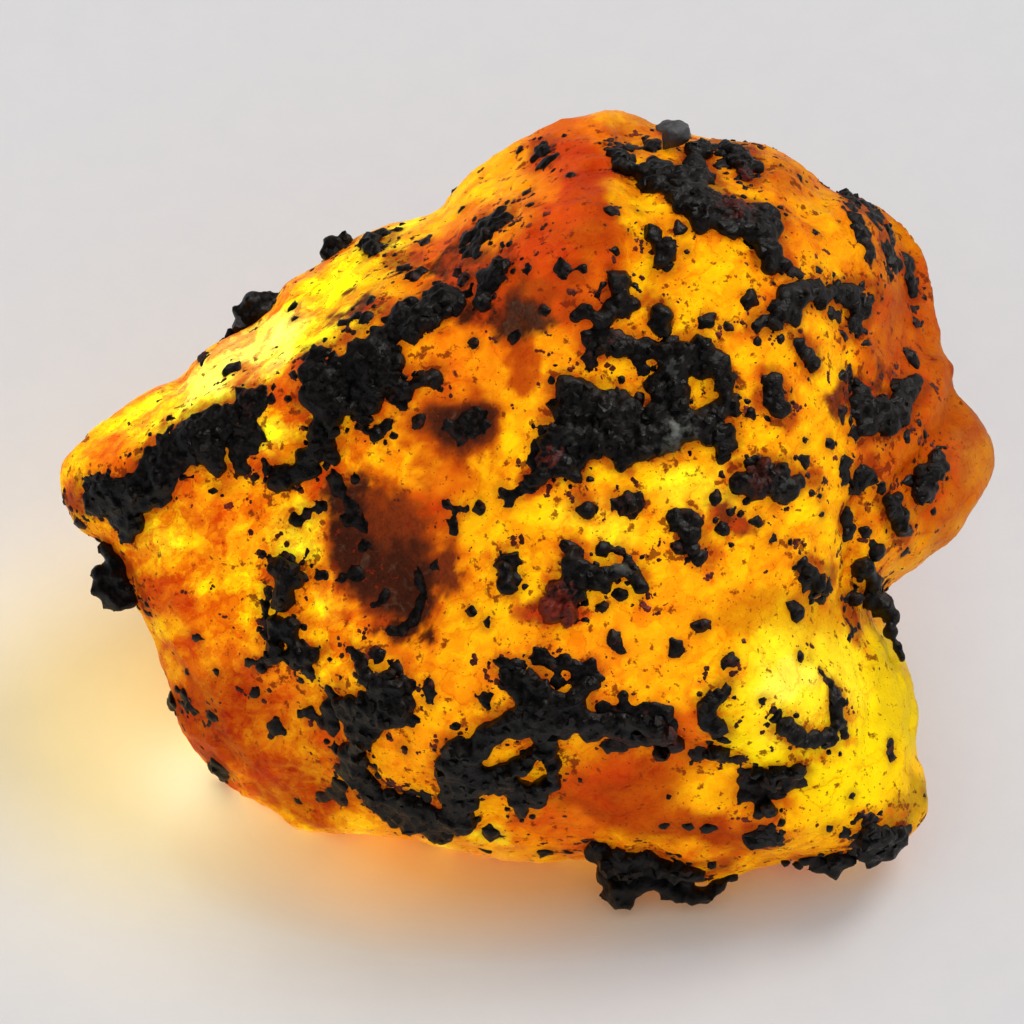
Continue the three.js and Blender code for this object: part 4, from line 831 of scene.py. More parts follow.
def grow_crust(node):
    """Blocks from the skin to the top of the CAD crust, grown together, with crystals on them."""
    heap = Heap()
    mesh = joined_copy(node)
    for foot, normal, height, shade in footings(node, mesh, BLOCK_SPACING):
        radius = rng.uniform(0.22, 0.46)
        height *= rng.uniform(0.7, 1.05) / MM
        heap.block(foot, growth(normal), height, radius, shade)
    for a, b, c, radius in HANGING.get(node, ()):
        heap.crystal(from_face(a, b, c), OUT, radius, flat=1.0, shade=0.0)
    for a, b, radius in RIM.get(node, ()):
        c = to_face(read_points(mesh)).mean(axis=0)[2]
        beside, _, _, _ = skin_tree.find_nearest(from_face(a, b, c))
        c = to_face([beside])[0][2]
        heap.crystal(from_face(a, b, c), OUT, radius, flat=1.0, shade=0.0)
    if heap.count == 0:
        place, _ = top_samples(mesh, LONE_SPACING)[0]
        foot, normal, _, _ = skin_tree.find_nearest(Vector(place))
        heap.block(foot, normal, 0.3, 0.4, glow_and_pale_at(place))
    piece = fused(crystals_of(node), heap.mesh("blocks"), CRUST_VOXEL, 2)
    # sharper crystals that stand out of the crust
    body = tree_of(piece.data)
    heap = Heap()
    for foot, normal, height, shade in footings(node, mesh, SHARP_SPACING):
        radius = 0.14 + 0.2 * rng.random() ** 1.5
        top, _, _, _ = body.find_nearest(foot + growth(normal) * height)
        heap.crystal(top, normal, radius, flat=0.9, shade=shade, sink=0.6)
    if heap.count:
        work = bmesh.new()
        work.from_mesh(piece.data)
        work.from_mesh(heap.mesh("sharp"))
        work.to_mesh(piece.data)
        work.free()
    return piece


def grow_grey_crystal(node):
    """Three smooth round crystals where the CAD node is."""
    a, b, c = to_face(read_points(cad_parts[node].data)).mean(axis=0)
    seat, _, _, _ = skin_tree.ray_cast(from_face(a + 0.1, b - 0.9, FAR_OUT), -OUT)
    grown = [(from_face(a + 0.1, b - 0.25, c), 0.66), (from_face(a - 0.2, b - 0.4, c), 0.5),
             (seat + (UP * 0.6 + OUT * 0.2) * MM, 0.54)]
    heap = Heap()
    for place, radius in grown:
        heap.crystal(place, OUT, radius, flat=1.0, shade=0, sink=0)
    return fused(crystals_of(node), heap.mesh("grey"), GREY_VOXEL, 6)


crusts = {GREY_NODE: grow_grey_crystal(GREY_NODE)}
crusts.update((node, grow_crust(node)) for node in crust_names if node != GREY_NODE)

# Single grains on the broad face: a, b, radius.
GRAINS = [
    (-5.1, 11.1, 0.28), (-4.6, 11.3, 0.28), (-3.5, 10.8, 0.3), (-5.7, 10.2, 0.2), (-11.2, 5.7, 0.35),
    (-8.7, 8.2, 0.25), (-8.7, 7.7, 0.2), (-8.6, 5.4, 0.2), (-8.6, -0.3, 0.28), (-8.1, 0, 0.28),
    (-7.6, 0.2, 0.26), (-7.6, -2.5, 0.25), (-6.7, -2.6, 0.25), (-14.6, -3.7, 0.2), (-3.7, 3.6, 0.3),
    (0.6, 9.6, 0.25), (2, 9.6, 0.33), (2.8, 9.6, 0.2), (2.3, 13.4, 0.2), (0.6, 12.7, 0.25),
    (0.75, 12.2, 0.2), (3.9, 11.9, 0.3), (0.3, 14.5, 0.2), (-1.5, 6.7, 0.2), (4.1, 10.3, 0.2),
    (-12.4, 6.2, 0.3), (-17.3, -0.5, 0.3), (-2, 12.1, 0.2), (5.6, 14.7, 0.38), (9.4, 8.4, 0.36),
    (7.7, 7.6, 0.35), (8.5, 7.3, 0.25), (6.6, 11.2, 0.3), (6.9, 10.3, 0.15), (6.1, 9.7, 0.25),
    (5, 11.9, 0.15), (4.6, 11.1, 0.12), (11.5, 13.3, 0.25), (12.1, 11.1, 0.15), (12.2, 9.6, 0.2),
    (10.7, 13.8, 0.12), (16.2, 7.6, 0.25), (16, 6.2, 0.35), (14.1, 6.7, 0.22), (14.6, 5.8, 0.15),
    (13.4, 5.5, 0.25), (11.6, 2.8, 0.15), (12.6, 2.7, 0.25), (16.5, 3.1, 0.2), (12.2, 0.6, 0.15),
    (12.3, -0.1, 0.15), (8, 0.5, 0.3), (9.4, 3.9, 0.25), (14.1, -0.8, 0.25), (14.6, -1.6, 0.36),
    (15.7, -1.6, 0.25), (9.7, -0.4, 0.25), (10.3, -1.1, 0.2), (9, -0.1, 0.15), (11, -1.2, 0.15),
    (11.1, -3.7, 0.25), (11.3, -4, 0.3), (13.5, -3.4, 0.25), (13.1, -3.4, 0.2), (7.5, -4.5, 0.33),
    (6.5, -5.4, 0.36), (8.6, -5.9, 0.3), (11.4, -5.7, 0.22), (11.8, -5.8, 0.1), (12.3, -6.4, 0.2),
    (9.9, -7.4, 0.2), (4, -5, 0.28), (4.3, -5.4, 0.2), (-1.6, -3.9, 0.22), (-1, -4.4, 0.24),
    (-0.4, 0.8, 0.28), (-0.1, 0.4, 0.24), (-1.1, -7.4, 0.3), (-3.3, -6.9, 0.27), (-3.3, -7.4, 0.27),
    (-4.3, -9.4, 0.25), (-0.8, -12.8, 0.36), (-1.2, -13.8, 0.2), (1.4, -13.6, 0.33), (2.2, -13.6, 0.2),
    (-12, -8.2, 0.3), (-13, -6.4, 0.15), (-11.8, -6.4, 0.15), (-10.2, -7.2, 0.2), (-9.4, -8.6, 0.35),
    (-8.1, -8, 0.3), (-7.6, -8.4, 0.25), (-8.6, -11.6, 0.2), (-7.5, -11.4, 0.28), (-8, -6.4, 0.3),
    (-8.4, -6.7, 0.15), (-6.4, -5.4, 0.2), (-12.6, -5, 0.2), (4.4, -7.3, 0.25), (2.7, -10.6, 0.12),
    (6, -12.5, 0.2), (7, -12.5, 0.25), (7.7, -12.6, 0.25), (8.1, -12.6, 0.15), (6.2, -11.3, 0.15),
    (13.3, -12.8, 0.25), (12.6, -12.6, 0.2), (13.5, -11.3, 0.2), (15.1, -9.2, 0.22), (15.1, -9.7, 0.25),
    (16.5, -11.3, 0.15), (10.6, -7.9, 0.15), (-5.6, 8.4, 0.24), (-6.2, 7.8, 0.28), (-6.7, 7.5, 0.26),
    # lumps beside the crusts
    (-10.6, 4.5, 0.4), (-10.1, 4.6, 0.4), (-10.2, 4.2, 0.35), (-10.5, 3.7, 0.3), (-10.7, 3.2, 0.42),
    (-10.2, 3, 0.4), (-10.9, 2.7, 0.4), (-10.4, 2.6, 0.3), (-10.9, 2.1, 0.35), (-10.8, 1.7, 0.3),
    (-7, 1.3, 0.3), (-6.9, 0.8, 0.3), (-6.2, 1.3, 0.2), (-6.1, -0.2, 0.28), (-5.9, -0.5, 0.26),
    (-6.1, -2.4, 0.3), (-3.7, -2.4, 0.24), (-3.6, -2.9, 0.26), (-3.6, -3.5, 0.26), (-3.8, -4, 0.24),
    (-0.1, -2, 0.36), (0, -2.7, 0.36), (-0.5, -2.1, 0.24), (4.6, 0.3, 0.42), (4.1, 0.3, 0.24),
    (5, 0.3, 0.28), (2.2, -1.4, 0.34), (2.5, -1.8, 0.3), (-4, -4.4, 0.28), (-4.4, -4.8, 0.3),
    (-4.8, -4.7, 0.22), (-5.5, -3.7, 0.18), (-5.1, -3.5, 0.18), (-2.6, 0.3, 0.2), (-2.2, 0.1, 0.2),
    (-1.8, 0.1, 0.2), (-1.3, 0.2, 0.26), (-2.3, -0.4, 0.22), (-2.3, -0.8, 0.2), (-1.4, 3.9, 0.3),
    (-1.1, 3.4, 0.3), (-2, 2.9, 0.3), (-2.5, 3.4, 0.26), (-1.8, 3.5, 0.42), (-4.3, 9.7, 0.3),
    (-4, 9.4, 0.26), (-3.6, 9.6, 0.22), (-5.4, 10.6, 0.32), (-1.8, 10.2, 0.3), (-1.5, 10.4, 0.25),
    (-2.2, 9.5, 0.25), (-1.9, 9.2, 0.3), (-1.8, 8.6, 0.25), (1.2, 8, 0.24), (0.1, 6.9, 0.24),
    (1.6, -6, 0.3), (2.1, -5.9, 0.26), (2.6, -6.2, 0.3), (3.1, -6, 0.3), (1.3, -5.8, 0.28),
    (3.6, -7.8, 0.34), (4.3, -7.9, 0.36), (4.9, -7.9, 0.38), (5.5, -7.9, 0.38), (6.1, -8, 0.36),
    (6.2, -8.4, 0.34), (4.6, -8.2, 0.3), (5.2, -8.2, 0.3), (5.8, -8.3, 0.3), (13.2, 1.9, 0.35),
    (13.3, 1.4, 0.35), (13.6, 0.9, 0.26), (13.1, 3.9, 0.3), (13.2, 5.4, 0.26), (13.6, 3.1, 0.3),
    (14.7, 1, 0.26), (15.9, 1.2, 0.3), (8.3, 2.2, 0.3), (3, 6, 0.3), (4.9, 6, 0.3), (5.2, 5.6, 0.3),
    (5, 4.4, 0.26), (8.4, 13.9, 0.3), (13, 7.7, 0.3), (13.2, 7, 0.24), (12.7, 7.8, 0.26), (9, -9.8, 0.3),
    (9.2, -11.2, 0.3), (-7.2, -11.3, 0.3), (-6.8, -11.5, 0.3), (-7, -11, 0.3), (-3.9, -11.2, 0.3),
    (-3.4, -11.4, 0.3), (-13.1, -7.4, 0.34), (-12.9, -7.8, 0.36), (11.5, -2.1, 0.3), (11.7, -2.9, 0.3),
    (11.9, -3.3, 0.24), (6.4, -0.2, 0.3), (6.6, -1.4, 0.26), (7.3, -2, 0.24), (3.6, -1.5, 0.3),
    (4.2, -1.5, 0.26), (-7.2, -7.2, 0.35), (-7.3, -7.9, 0.35), (-7.1, -8.6, 0.3), (-7, -9.4, 0.3),
    (-4.2, -6.8, 0.35), (-4.3, -7.6, 0.4), (-4.1, -8.2, 0.3), (-6, -5.9, 0.3), (-5.3, -5.7, 0.3),
    (-4.6, -6.2, 0.3), (-6.9, -10.2, 0.25), (-6.8, -10.9, 0.25), (9.3, -10.6, 0.35), (9.5, -11.2, 0.3),
    (9.9, -11.9, 0.3), (3, 6.9, 0.35), (3.5, 7.2, 0.3), (4.2, 6.9, 0.3), (5.2, 6.4, 0.38),
    (5.8, 6.4, 0.38), (3.5, 6.6, 0.38), (4.1, 6.5, 0.38), (4.6, 6.6, 0.32), (6.2, 6.6, 0.34),
    (-0.4, -5.9, 0.25), (0.3, -6.1, 0.3), (0.8, -5.8, 0.25), (1.2, -5.5, 0.25), (1.8, -6.7, 0.3),
    (2.6, -6.9, 0.3), (3.3, -6.6, 0.25), (-9.7, -4.4, 0.3), (-9.8, -4.9, 0.25), (-9.9, -6, 0.3),
    (-10.5, -6, 0.2), (-8.4, -2.6, 0.3), (-8.3, -5.5, 0.3), (-7.8, -5.6, 0.2), (8.4, 14.3, 0.3),
    (9, 14.2, 0.35), (9.5, 13.8, 0.35), (9.3, 13.3, 0.3), (8, 14.6, 0.3), (5.6, 14.6, 0.3),
    (4.3, 14.6, 0.25), (4.7, 14.5, 0.25), (0.5, 1, 0.32), (0.9, 1.3, 0.32), (0.2, 0.7, 0.22),
    (7.4, -1.8, 0.3), (6.9, -0.1, 0.25), (-6.4, 0.3, 0.3), (-6.5, -0.3, 0.26), (-5.9, -1.4, 0.24),
    (-1.4, 10.4, 0.25), (-3.1, -2.1, 0.2), (-5, -3.2, 0.2), (13.5, 12.2, 0.34), (13.8, 11.7, 0.38),
    (14, 11.2, 0.4), (14.2, 10.7, 0.36), (14.3, 10.2, 0.3), (-0.2, 11.5, 0.3), (-0.6, 11.3, 0.36),
    (-1, 11, 0.36), (-1.4, 10.7, 0.36), (1.5, 14, 0.36), (1.1, 13.8, 0.26), (3.3, -13.4, 0.36),
    (3.5, -13.7, 0.3), (-16.9, 1.2, 0.3), (-16.4, 1.3, 0.3), (10.6, 9.8, 0.3), (11, 9.6, 0.26),
    (11.4, 9.4, 0.22), (-9.4, -2, 0.32), (-8.9, -1.9, 0.3), (8.5, -7, 0.26), (8.1, -7.3, 0.26),
    (7.8, -7.7, 0.26), (8, -8.6, 0.26), (8.3, -9, 0.24), (12.6, -6.8, 0.24), (12.9, -7.2, 0.24),
    (10.4, -8.2, 0.22), (10.9, -8.6, 0.26), (12, -9.1, 0.28), (13.2, -8.8, 0.24), (-9.7, -3.2, 0.28),
    (-9.8, -3.8, 0.26), (-4.4, 4.3, 0.3), (-4.8, 4.7, 0.3), (-5.2, 3.2, 0.3), (-4.9, 3.5, 0.26),
    (-6, 3.4, 0.26), (-3.6, 5.4, 0.24), (-3.1, 5.5, 0.2), (4.6, -2.1, 0.3), (4.9, -2.6, 0.26),
    (4.3, -3.2, 0.26), (3.6, -3.7, 0.24), (6.6, -0.6, 0.3), (7.2, -0.4, 0.3), (10.6, -13, 0.3),
    (13.6, -13.6, 0.3), (14.2, -12.2, 0.3), (9.4, 1.9, 0.26), (9.8, 2, 0.26), (11.6, 2, 0.26),
    (8.8, 0.9, 0.26), (10, 5.3, 0.2), (10.2, 4.8, 0.22), (1, 2.6, 0.3), (1.3, 3.2, 0.3), (0.9, 2, 0.26),
    (1.7, 4.2, 0.26),
    # the cluster and the knob at the foot of the lobe
    (9.4, -10.3, 0.34), (10.4, -10.3, 0.3), (11.4, -10.3, 0.3), (9.5, -10.8, 0.34), (10, -10.7, 0.36),
    (11, -10.7, 0.36), (11.4, -10.7, 0.28), (10, -11.2, 0.34), (10.5, -11.2, 0.32), (8.6, -9.8, 0.22),
    (7.3, -9.6, 0.4), (7.6, -9.5, 0.4),
    # the low bar and the rim beside the lobe
    (9.5, -12.9, 0.28), (9.9, -12.8, 0.3), (10.3, -12.9, 0.28), (13.8, -13.2, 0.36), (14.1, -13.7, 0.36),
    (14, -12.8, 0.34), (13.5, -13.9, 0.3),
    # under the right end of the lower crust
    (3.8, -9.2, 0.34), (4.3, -9.2, 0.34), (4.8, -9.1, 0.3), (5.4, -9, 0.3), (5.9, -9.1, 0.32),
    (6.3, -9.2, 0.3),
]


def on_skin(a, b):
    """The place on the skin in front of a spot of the broad face, and the skin's normal there."""
    place, normal, _, _ = skin_tree.ray_cast(from_face(a, b, FAR_OUT), -OUT)
    if place is None:
        place, normal, _, _ = skin_tree.find_nearest(from_face(a, b, 0))
    return place, normal


def scatter_grains():
    """The single grains, each with four smaller ones round it."""
    heap = Heap()
    for a, b, radius in GRAINS:
        place, normal = on_skin(a, b)
        # each grain and the small ones round it get a random painted glow, as of light through thin
        # mineral
        heap.crystal(place, normal, radius * 1.2, flat=0.7, shade=GRAIN_GLOW * rng.random())
        for _ in range(4):
            angle = rng.uniform(0, math.tau)
            reach = radius * rng.uniform(0.7, 1.3)
            place, normal = on_skin(a + reach * math.cos(angle), b + reach * math.sin(angle))
            small = radius * rng.uniform(0.3, 0.6)
            heap.crystal(place, normal, small, flat=0.7, shade=GRAIN_GLOW * rng.random())
    return fused("single_grains", heap.mesh("single_grains"), GRAIN_VOXEL, 1)


def scatter_edges():
    """The ragged edges of the crusts."""
    heap = Heap()
    clump = fractal(skin_local, 1.1, 3, 401.0)
    beside = np.flatnonzero((near_crust > 0.02) & (near_crust < 0.45) & (clump > 0.22))
    rng.shuffle(beside)
    for k in thinned(skin_points[beside], EDGE_SPACING):
        i = beside[k]
        radius = rng.uniform(0.1, 0.24)
        # a random painted glow, as of light through thin mineral
        shade = GRAIN_GLOW * rng.random()
        heap.crystal(skin_points[i], skin_normals[i], radius, flat=0.8, shade=shade, sink=0.35)
    return fused("edge_grains", heap.mesh("edge_grains"), GRAIN_VOXEL, 1)


def scatter_specks():
    """Dark specks in the skin, closest together beside the crusts."""
    heap = Heap()
    a, b, _ = skin_local.T
    weights = 0.05 + np.exp(-((near_crust / 0.9) ** 2)) * (near_crust > 0.2)
    weights += 0.6 * np.exp(-(((a - 1.2) / 2.6) ** 2) - ((b - 11.0) / 3.4) ** 2)
    clump = fractal(skin_local, 0.8, 4, 211.0)
    weights = weights * np.exp(5 * clump)
    for i in rng.choices(range(len(weights)), weights=weights, k=SPECK_COUNT):
        radius = 0.04 + 0.11 * rng.random() ** 2
        place = Vector(skin_points[i])
        shade = rng.random()
        step = random_step().normalized() * radius * 1.4 * MM
        for _ in range(rng.choice((1, 2, 2, 3, 4))):
            place, normal, _, _ = skin_tree.find_nearest(place)
            heap.crystal(place, normal, radius, flat=0.45, shade=shade, sink=0.1)
            place = place + step + random_step() * radius * 0.5 * MM
            radius *= rng.uniform(0.6, 1.1)
    return new_object("specks", heap.mesh("specks"))


grains = scatter_grains()
edges = scatter_edges()
specks = scatter_specks()


def grain_painted_shadow():
    """How close each corner of the skin is to a single grain, 1 beside it, for the painted shadow round
    the grains.
    """
    tree = kdtree.KDTree(len(GRAINS))
    for i, (a, b, _) in enumerate(GRAINS):
        tree.insert(on_skin(a, b)[0], i)
    tree.balance()
    painted_shadow = np.zeros(len(skin_points))
    for i, point in enumerate(skin_points):
        _, index, distance = tree.find(Vector(point))
        painted_shadow[i] = math.exp(-((max(distance / MM - GRAINS[index][2], 0) / 0.2) ** 2))
    return painted_shadow


store_colour(stone.data, "tint", skin_tint)
store_value(stone.data, "brown", skin_brown)
store_value(stone.data, "lobe", skin_lobe)
store_value(stone.data, "lively", skin_lively)
# rusty dust spreads about 1 mm from the crusts, and painted shadow, a dark rim, about a quarter of that
store_value(stone.data, "dust", np.exp(-(near_crust ** 2)))
store_value(stone.data, "painted_shadow", np.maximum(np.exp(-((near_crust / 0.26) ** 2)), 0.6 * grain_painted_shadow()))


# ---------------------------------------------------------------- materials


def rgba(colour):
    """Three numbers as a colour that a socket takes. A node's output stays as it is."""
    return colour if isinstance(colour, bpy.types.NodeSocket) else (*colour, 1.0)


class Nodes:
    """A new material, and short ways to add nodes to it."""

    def __init__(self, name):
        self.material = bpy.data.materials.new(name)
        self.material.use_nodes = True
        self.tree = self.material.node_tree

    def fill(self, node, inputs):
        """Links each of a node's inputs to an output, or sets it to a value."""
        for key, value in inputs.items():
            if isinstance(value, bpy.types.NodeSocket):
                self.tree.links.new(value, node.inputs[key])
            else:
                node.inputs[key].default_value = value

    def add(self, kind, inputs, **settings):
        node = self.tree.nodes.new(kind)
        for key, value in settings.items():
            setattr(node, key, value)
        self.fill(node, inputs)
        return node

    def surface(self, inputs):
        """The finished material, with its shader's inputs."""
        self.fill(self.tree.nodes["Principled BSDF"], inputs)
        return self.material

    def attribute(self, name, output="Fac"):
        return self.add("ShaderNodeAttribute", {}, attribute_name=name).outputs[output]

    def scaled(self, turn=(0, 0, 0), stretch=(1, 1, 1), centre=(0, 0, 0)):
        """The object's own coordinates in millimetres, on turned and stretched axes."""
        inputs = {"Vector": self.add("ShaderNodeTexCoord", {}).outputs["Object"], "Rotation": turn,
                  "Scale": [s * MM for s in stretch], "Location": [c * MM for c in centre]}
        return self.add("ShaderNodeMapping", inputs, vector_type="TEXTURE").outputs["Vector"]

    def noise(self, vector, scale, detail=4.0, rough=0.55, distortion=0.0):
        inputs = {"Vector": vector, "Scale": scale, "Detail": detail, "Roughness": rough,
                  "Distortion": distortion}
        return self.add("ShaderNodeTexNoise", inputs).outputs["Fac"]

    def cells(self, vector, scale, output="Color", feature="F1"):
        inputs = {"Vector": vector, "Scale": scale}
        return self.add("ShaderNodeTexVoronoi", inputs, feature=feature).outputs[output]

    def ranged(self, value, low, high, to_low=0.0, to_high=1.0):
        inputs = {"Value": value, "From Min": low, "From Max": high, "To Min": to_low, "To Max": to_high}
        return self.add("ShaderNodeMapRange", inputs).outputs["Result"]

    def plus(self, first, second):
        return self.add("ShaderNodeMath", {0: first, 1: second}, operation="ADD").outputs["Value"]

    def times(self, first, second):
        return self.add("ShaderNodeMath", {0: first, 1: second}, operation="MULTIPLY").outputs["Value"]

    def mix(self, share, first, second, blend="MIX"):
        inputs = {0: share, 6: rgba(first), 7: rgba(second)}
        return self.add("ShaderNodeMix", inputs, data_type="RGBA", blend_type=blend).outputs[2]

    def bump(self, height, strength, distance):
        inputs = {"Height": height, "Strength": strength, "Distance": distance * MM}
        return self.add("ShaderNodeBump", inputs).outputs["Normal"]


def corundum_material():
    n = Nodes("corundum")
    plain = n.scaled()
    # patterns stretched along the ridge and through the stone
    along = RIGHT * math.cos(RIDGE_TURN) + UP * math.sin(RIDGE_TURN)
    axes = Matrix((along, OUT.cross(along), OUT)).transposed()
    drawn = n.scaled(axes.to_euler(), RIDGE_STRETCH)
    # they wander, so that cells and patches have uneven edges
    wander = n.add("ShaderNodeTexNoise", {"Vector": plain, "Scale": 1.1, "Detail": 4.0}).outputs["Color"]
    inputs = {0: wander, 1: (1.1, 1.1, 1.1), 2: drawn}
    bent = n.add("ShaderNodeVectorMath", inputs, operation="MULTIPLY_ADD").outputs["Vector"]
    tint = n.attribute("tint", "Color")
    dust = n.attribute("dust")
    lobe = n.attribute("lobe")
    lively = n.attribute("lively")
    brown = n.attribute("brown")
    # patches of one brightness with sharp edges, and cloudy ones
    cloud = n.ranged(n.noise(drawn, 0.8, 5.0, 0.62, 0.4), 0.34, 0.66)
    level = n.plus(n.times(n.cells(bent, 0.8), 0.3), n.times(n.cells(bent, 2.1), 0.2))
    level = n.plus(level, n.times(cloud, 0.5))
    brighter = n.mix(lobe, (1.1, 1.5, 0.8), (1.04, 1.08, 0.9))
    deep = n.mix(1.0, tint, n.mix(lobe, (0.74, 0.34, 0.25), (0.86, 0.76, 0.3)), "MULTIPLY")
    bright = n.mix(1.0, tint, brighter, "MULTIPLY")
    bright = n.mix(n.ranged(lobe, 0.0, 1.0, 0.04, 0.0), bright, linear((255, 190, 8)))
    patchy = n.mix(n.ranged(level, 0.26, 0.74), deep, bright)
    colour = n.mix(lively, n.mix(0.45, deep, bright), patchy)
    # flame-like patches with crisp ragged edges
    flame = n.noise(bent, 0.9, 6.0, 0.68)
    bright = n.mix(0.03, n.mix(1.0, colour, brighter, "MULTIPLY"), linear((255, 200, 8)))
    colour = n.mix(n.times(lively, n.ranged(flame, 0.53, 0.55, 0.0, 0.7)), colour, bright)
    deep = n.mix(1.0, colour, n.mix(lobe, (0.8, 0.42, 0.3), (0.86, 0.76, 0.5)), "MULTIPLY")
    colour = n.mix(n.times(lively, n.ranged(flame, 0.45, 0.43, 0.0, 0.65)), colour, deep)
    # reddish veins between the patches
    vein = n.ranged(n.cells(bent, 0.8, "Distance", "DISTANCE_TO_EDGE"), 0.05, 0.0)
    vein = n.times(vein, n.ranged(cloud, 0.7, 0.2))
    colour = n.mix(n.times(vein, 0.5), colour, (0.75, 0.3, 0.25), "MULTIPLY")
    # fine dark grain and grey swirls in the brown stains
    smear = n.ranged(n.noise(plain, 4.0, 5.0, 0.7, 1.0), 0.4, 0.66, 0.0, 0.7)
    colour = n.mix(n.ranged(brown, 0.0, 0.6), colour, tint)
    colour = n.mix(n.times(brown, smear), colour, linear((34, 15, 10)))
    swirl = n.ranged(n.noise(plain, 1.3, 3.0, 0.6, 1.5), 0.56, 0.7)
    swirl = n.times(n.ranged(brown, 0.6, 1.0, 0.0, 0.22), swirl)
    colour = n.mix(swirl, colour, linear((104, 90, 70)))
    # a rusty stain near the crusts, darkest beside them, and painted shadow in a dark red rim right round
    # the crusts and grains
    stain = n.times(n.ranged(dust, 0.3, 1.0), n.ranged(n.noise(plain, 1.3, 3.0), 0.42, 0.62))
    colour = n.mix(n.times(stain, 0.75), colour, linear((196, 64, 8)))
    painted_shadow = n.times(n.attribute("painted_shadow"), n.ranged(brown, 0.3, 0.8, 0.75, 0.1))
    colour = n.mix(painted_shadow, colour, linear((124, 38, 8)))
    # dark red specks, thicker near the crusts and in some areas
    grain = n.plus(n.noise(plain, 2.3, 3.0, 0.6), n.times(dust, 0.07))
    grain = n.plus(grain, n.ranged(n.noise(plain, 0.4), 0.35, 0.65, -0.04, 0.06))
    colour = n.mix(n.ranged(grain, 0.64, 0.71, 0.0, 0.85), colour, linear((104, 30, 8)))
    dots = n.ranged(n.noise(plain, 6.5, 2.0, 0.5), 0.66, 0.73, 0.0, 0.8)
    colour = n.mix(dots, colour, linear((92, 32, 10)))
    return n.surface({"Base Color": colour, "Roughness": n.ranged(cloud, 0.0, 1.0, 0.36, 0.5),
                      "Normal": n.bump(n.noise(plain, 1.9, 7.0, 0.68), 0.7, 0.22),
                      "IOR": 1.77, "Specular IOR Level": 0.015})


def black_material(name, warm=0.0, grey=0.0):
    """The black mineral, with a share of warmth or of grey all over."""
    n = Nodes(name)
    plain = n.scaled()
    shade = n.attribute("shade")
    grain = n.noise(plain, 4.0, 3.0, 0.6)
    colour = n.mix(n.ranged(grain, 0.45, 0.7), linear((12, 9, 7)), linear((30, 25, 22)))
    # painted glow, dark red, as of light through thin mineral, where the value is above 0
    glow = n.ranged(n.times(shade, n.ranged(grain, 0.3, 0.6, 0.4, 1.3)), 0.3, 1.1)
    colour = n.mix(glow, colour, linear((118, 32, 10)))
    # pale where the value is below 0: partly grey mineral, partly painted highlight
    pale = n.ranged(n.times(shade, n.ranged(n.noise(plain, 1.5), 0.35, 0.6)), -0.2, -1.0)
    colour = n.mix(pale, colour, linear((92, 94, 88)))
    colour = n.mix(warm, colour, linear((104, 30, 12)))
    colour = n.mix(grey, colour, linear((126, 126, 128)))
    return n.surface({"Base Color": colour, "Roughness": n.ranged(grain, 0.3, 0.7, 0.36, 0.66),
                      "Normal": n.bump(n.noise(plain, 7.0, 2.0, 0.6), 0.5, 0.08),
                      "IOR": 1.8, "Specular IOR Level": 0.13})


black = black_material("black_crystals")
grey = black_material("grey_crystal", grey=0.22)
stone.data.materials.append(corundum_material())
for node, piece in crusts.items():
    piece.data.materials.append(grey if node == GREY_NODE else black)
grains.data.materials.append(black)
edges.data.materials.append(black)
specks.data.materials.append(black_material("dark_specks", warm=0.35))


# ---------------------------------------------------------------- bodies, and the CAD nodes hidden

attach(stone, "root")
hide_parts("sapphire")
for node, piece in crusts.items():
    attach(piece, "root")
    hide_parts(node)
for piece in (grains, edges, specks):
    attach(piece, "root")


# ---------------------------------------------------------------- floor, light and camera


def make_floor():
    work = bmesh.new()
    bmesh.ops.create_grid(work, x_segments=1, y_segments=1, size=8)
    mesh = bpy.data.meshes.new("floor")
    work.to_mesh(mesh)
    work.free()
    n = Nodes("pale_floor")
    plain = n.scaled()
    colour = n.mix(n.noise(plain, 0.6), linear((226, 226, 228)), linear((232, 231, 231)))
    # painted light and shade: the floor's colour made warmer and darker in front of the stone and at its
    # left, as in the light that comes through it
    painted_light_and_shade = [((12, 5, 1), (0, -9.5, 0), (1.0, 0.66, 0.34)),
                   ((9, 9, 1), (-15, -3, 0), (1.0, 0.96, 0.78))]
    for half_sizes, centre, tint in painted_light_and_shade:
        inputs = {0: n.scaled(stretch=half_sizes, centre=centre)}
        beside = n.add("ShaderNodeVectorMath", inputs, operation="LENGTH").outputs["Value"]
        colour = n.mix(n.ranged(beside, 1.25, 0.45), colour, tint, "MULTIPLY")
    normal = n.bump(n.noise(plain, 2.0, 5.0), 0.12, 0.06)
    inputs = {"Base Color": colour, "Normal": normal, "Roughness": 0.8, "Specular IOR Level": 0.2}
    mesh.materials.append(n.surface(inputs))
    floor = new_object("floor", mesh)
    return floor


def add_light(name, kind, power, colour):
    data = bpy.data.lights.new(name, kind)
    data.energy = power
    data.color = colour
    return new_object(name, data)


def area_light(name, place, target, size, power, colour, only, soft=True):
    """A round light at a place in millimetres, for some objects only.

    A soft one gives no shine, and nothing but those objects stands in its way.
    """
    light = add_light(name, "AREA", power, colour)
    light.data.shape = "DISK"
    light.data.size = size * MM
    light.location = Vector(place) * MM
    light.rotation_euler = (Vector(target) * MM - light.location).to_track_quat("-Z", "Y").to_euler()
    light.visible_camera = False
    light.visible_glossy = not soft
    group = bpy.data.collections.new(name + "_only")
    for obj in only:
        group.objects.link(obj)
    light.light_linking.receiver_collection = group
    if soft:
        light.light_linking.blocker_collection = group


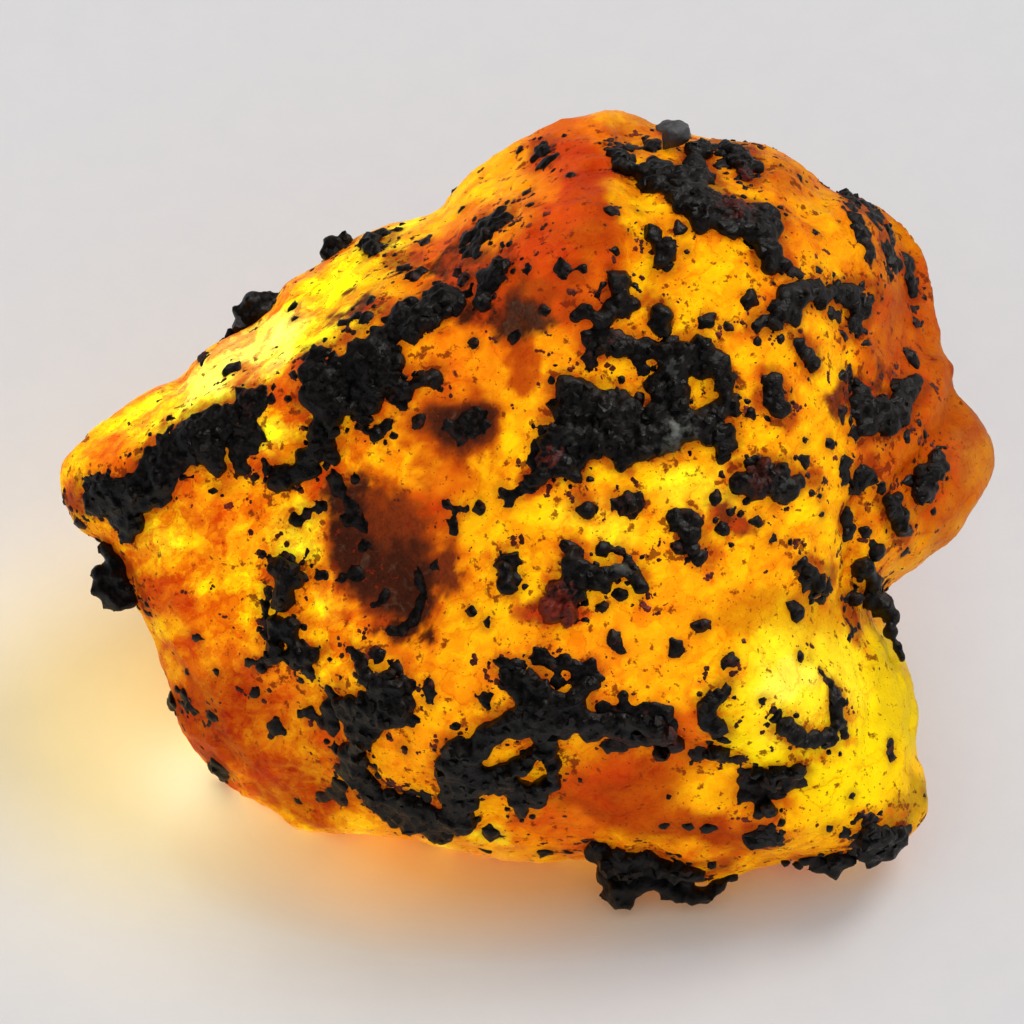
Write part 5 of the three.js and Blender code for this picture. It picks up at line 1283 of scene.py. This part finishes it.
floor = make_floor()
WHITE = (1.0, 0.98, 0.96)
COOL = (0.86, 0.94, 1.0)
WARM = (1.0, 0.9, 0.72)
AMBER = (1.0, 0.72, 0.08)
ORANGE = (1.0, 0.48, 0.02)
sun = add_light("key", "SUN", 1.0, WHITE)
sun.data.angle = math.radians(26)
sun.rotation_euler = Vector((-170, -130, -312)).to_track_quat("-Z", "Y").to_euler()
sun.visible_glossy = False
dark_pieces = [*crusts.values(), grains, edges, specks]
area_light("glint", (180, 137, 330), (0, 0, 8), 180, 1.0, WHITE, dark_pieces, soft=False)
area_light("front", (0, -257, 317), (0, 0, 8), 240, 0.95, WHITE, [stone])
area_light("side", (300, -220, 60), (0, 0, 8), 200, 0.35, WHITE, [stone])
area_light("left", (-300, -200, 60), (0, 0, 8), 200, 0.3, WHITE, [stone])
area_light("under", (-8, 4, -40), (0, 0, 8), 30, 0.03, WARM, [stone])
area_light("behind", (-60, 70, 30), (0, 0, 10), 40, 0.06, WARM, [stone])
# the glow on the floor round the foot of the stone
area_light("glow_left", (-18, -1, 9), (-17, -1, 0), 9, 0.00038, AMBER, [floor])
area_light("glow_middle", (-14, -7, 8), (-13, -6, 0), 8, 0.00036, AMBER, [floor])
area_light("glow_spot", (-13, -5.8, 3), (-13, -5.8, 0), 3, 0.00005, WHITE, [floor])
area_light("glow_low", (-6, -10.5, 5), (-5, -9, 0), 5, 0.00012, ORANGE, [floor])
area_light("glow_right", (19, 2, 12), (19, 2, 0), 12, 0.0002, COOL, [floor])
area_light("glow_front", (0, -22, 14), (0, -20, 0), 14, 0.0002, WARM, [floor])

scene = bpy.context.scene
world = bpy.data.worlds.new("studio")
world.use_nodes = True
world.node_tree.nodes["Background"].inputs["Color"].default_value = (0.97, 0.98, 1.0, 1)
world.node_tree.nodes["Background"].inputs["Strength"].default_value = 0.66
world.cycles_visibility.glossy = False
scene.world = world

camera = new_object("camera", bpy.data.cameras.new("camera"))
camera.data.sensor_width = SENSOR
camera.data.lens = SENSOR * VIEW_DISTANCE / VIEW_WIDTH
camera.data.clip_start = 0.01
camera.data.clip_end = 10
turned = Matrix((RIGHT, UP, OUT)).transposed().to_4x4()
camera.matrix_world = Matrix.Translation(CENTRE + OUT * VIEW_DISTANCE * MM) @ turned
bpy.context.scene.camera = camera
scene.view_settings.view_transform = "Standard"
scene.cycles.max_bounces = 2
scene.cycles.diffuse_bounces = 1
scene.cycles.glossy_bounces = 1
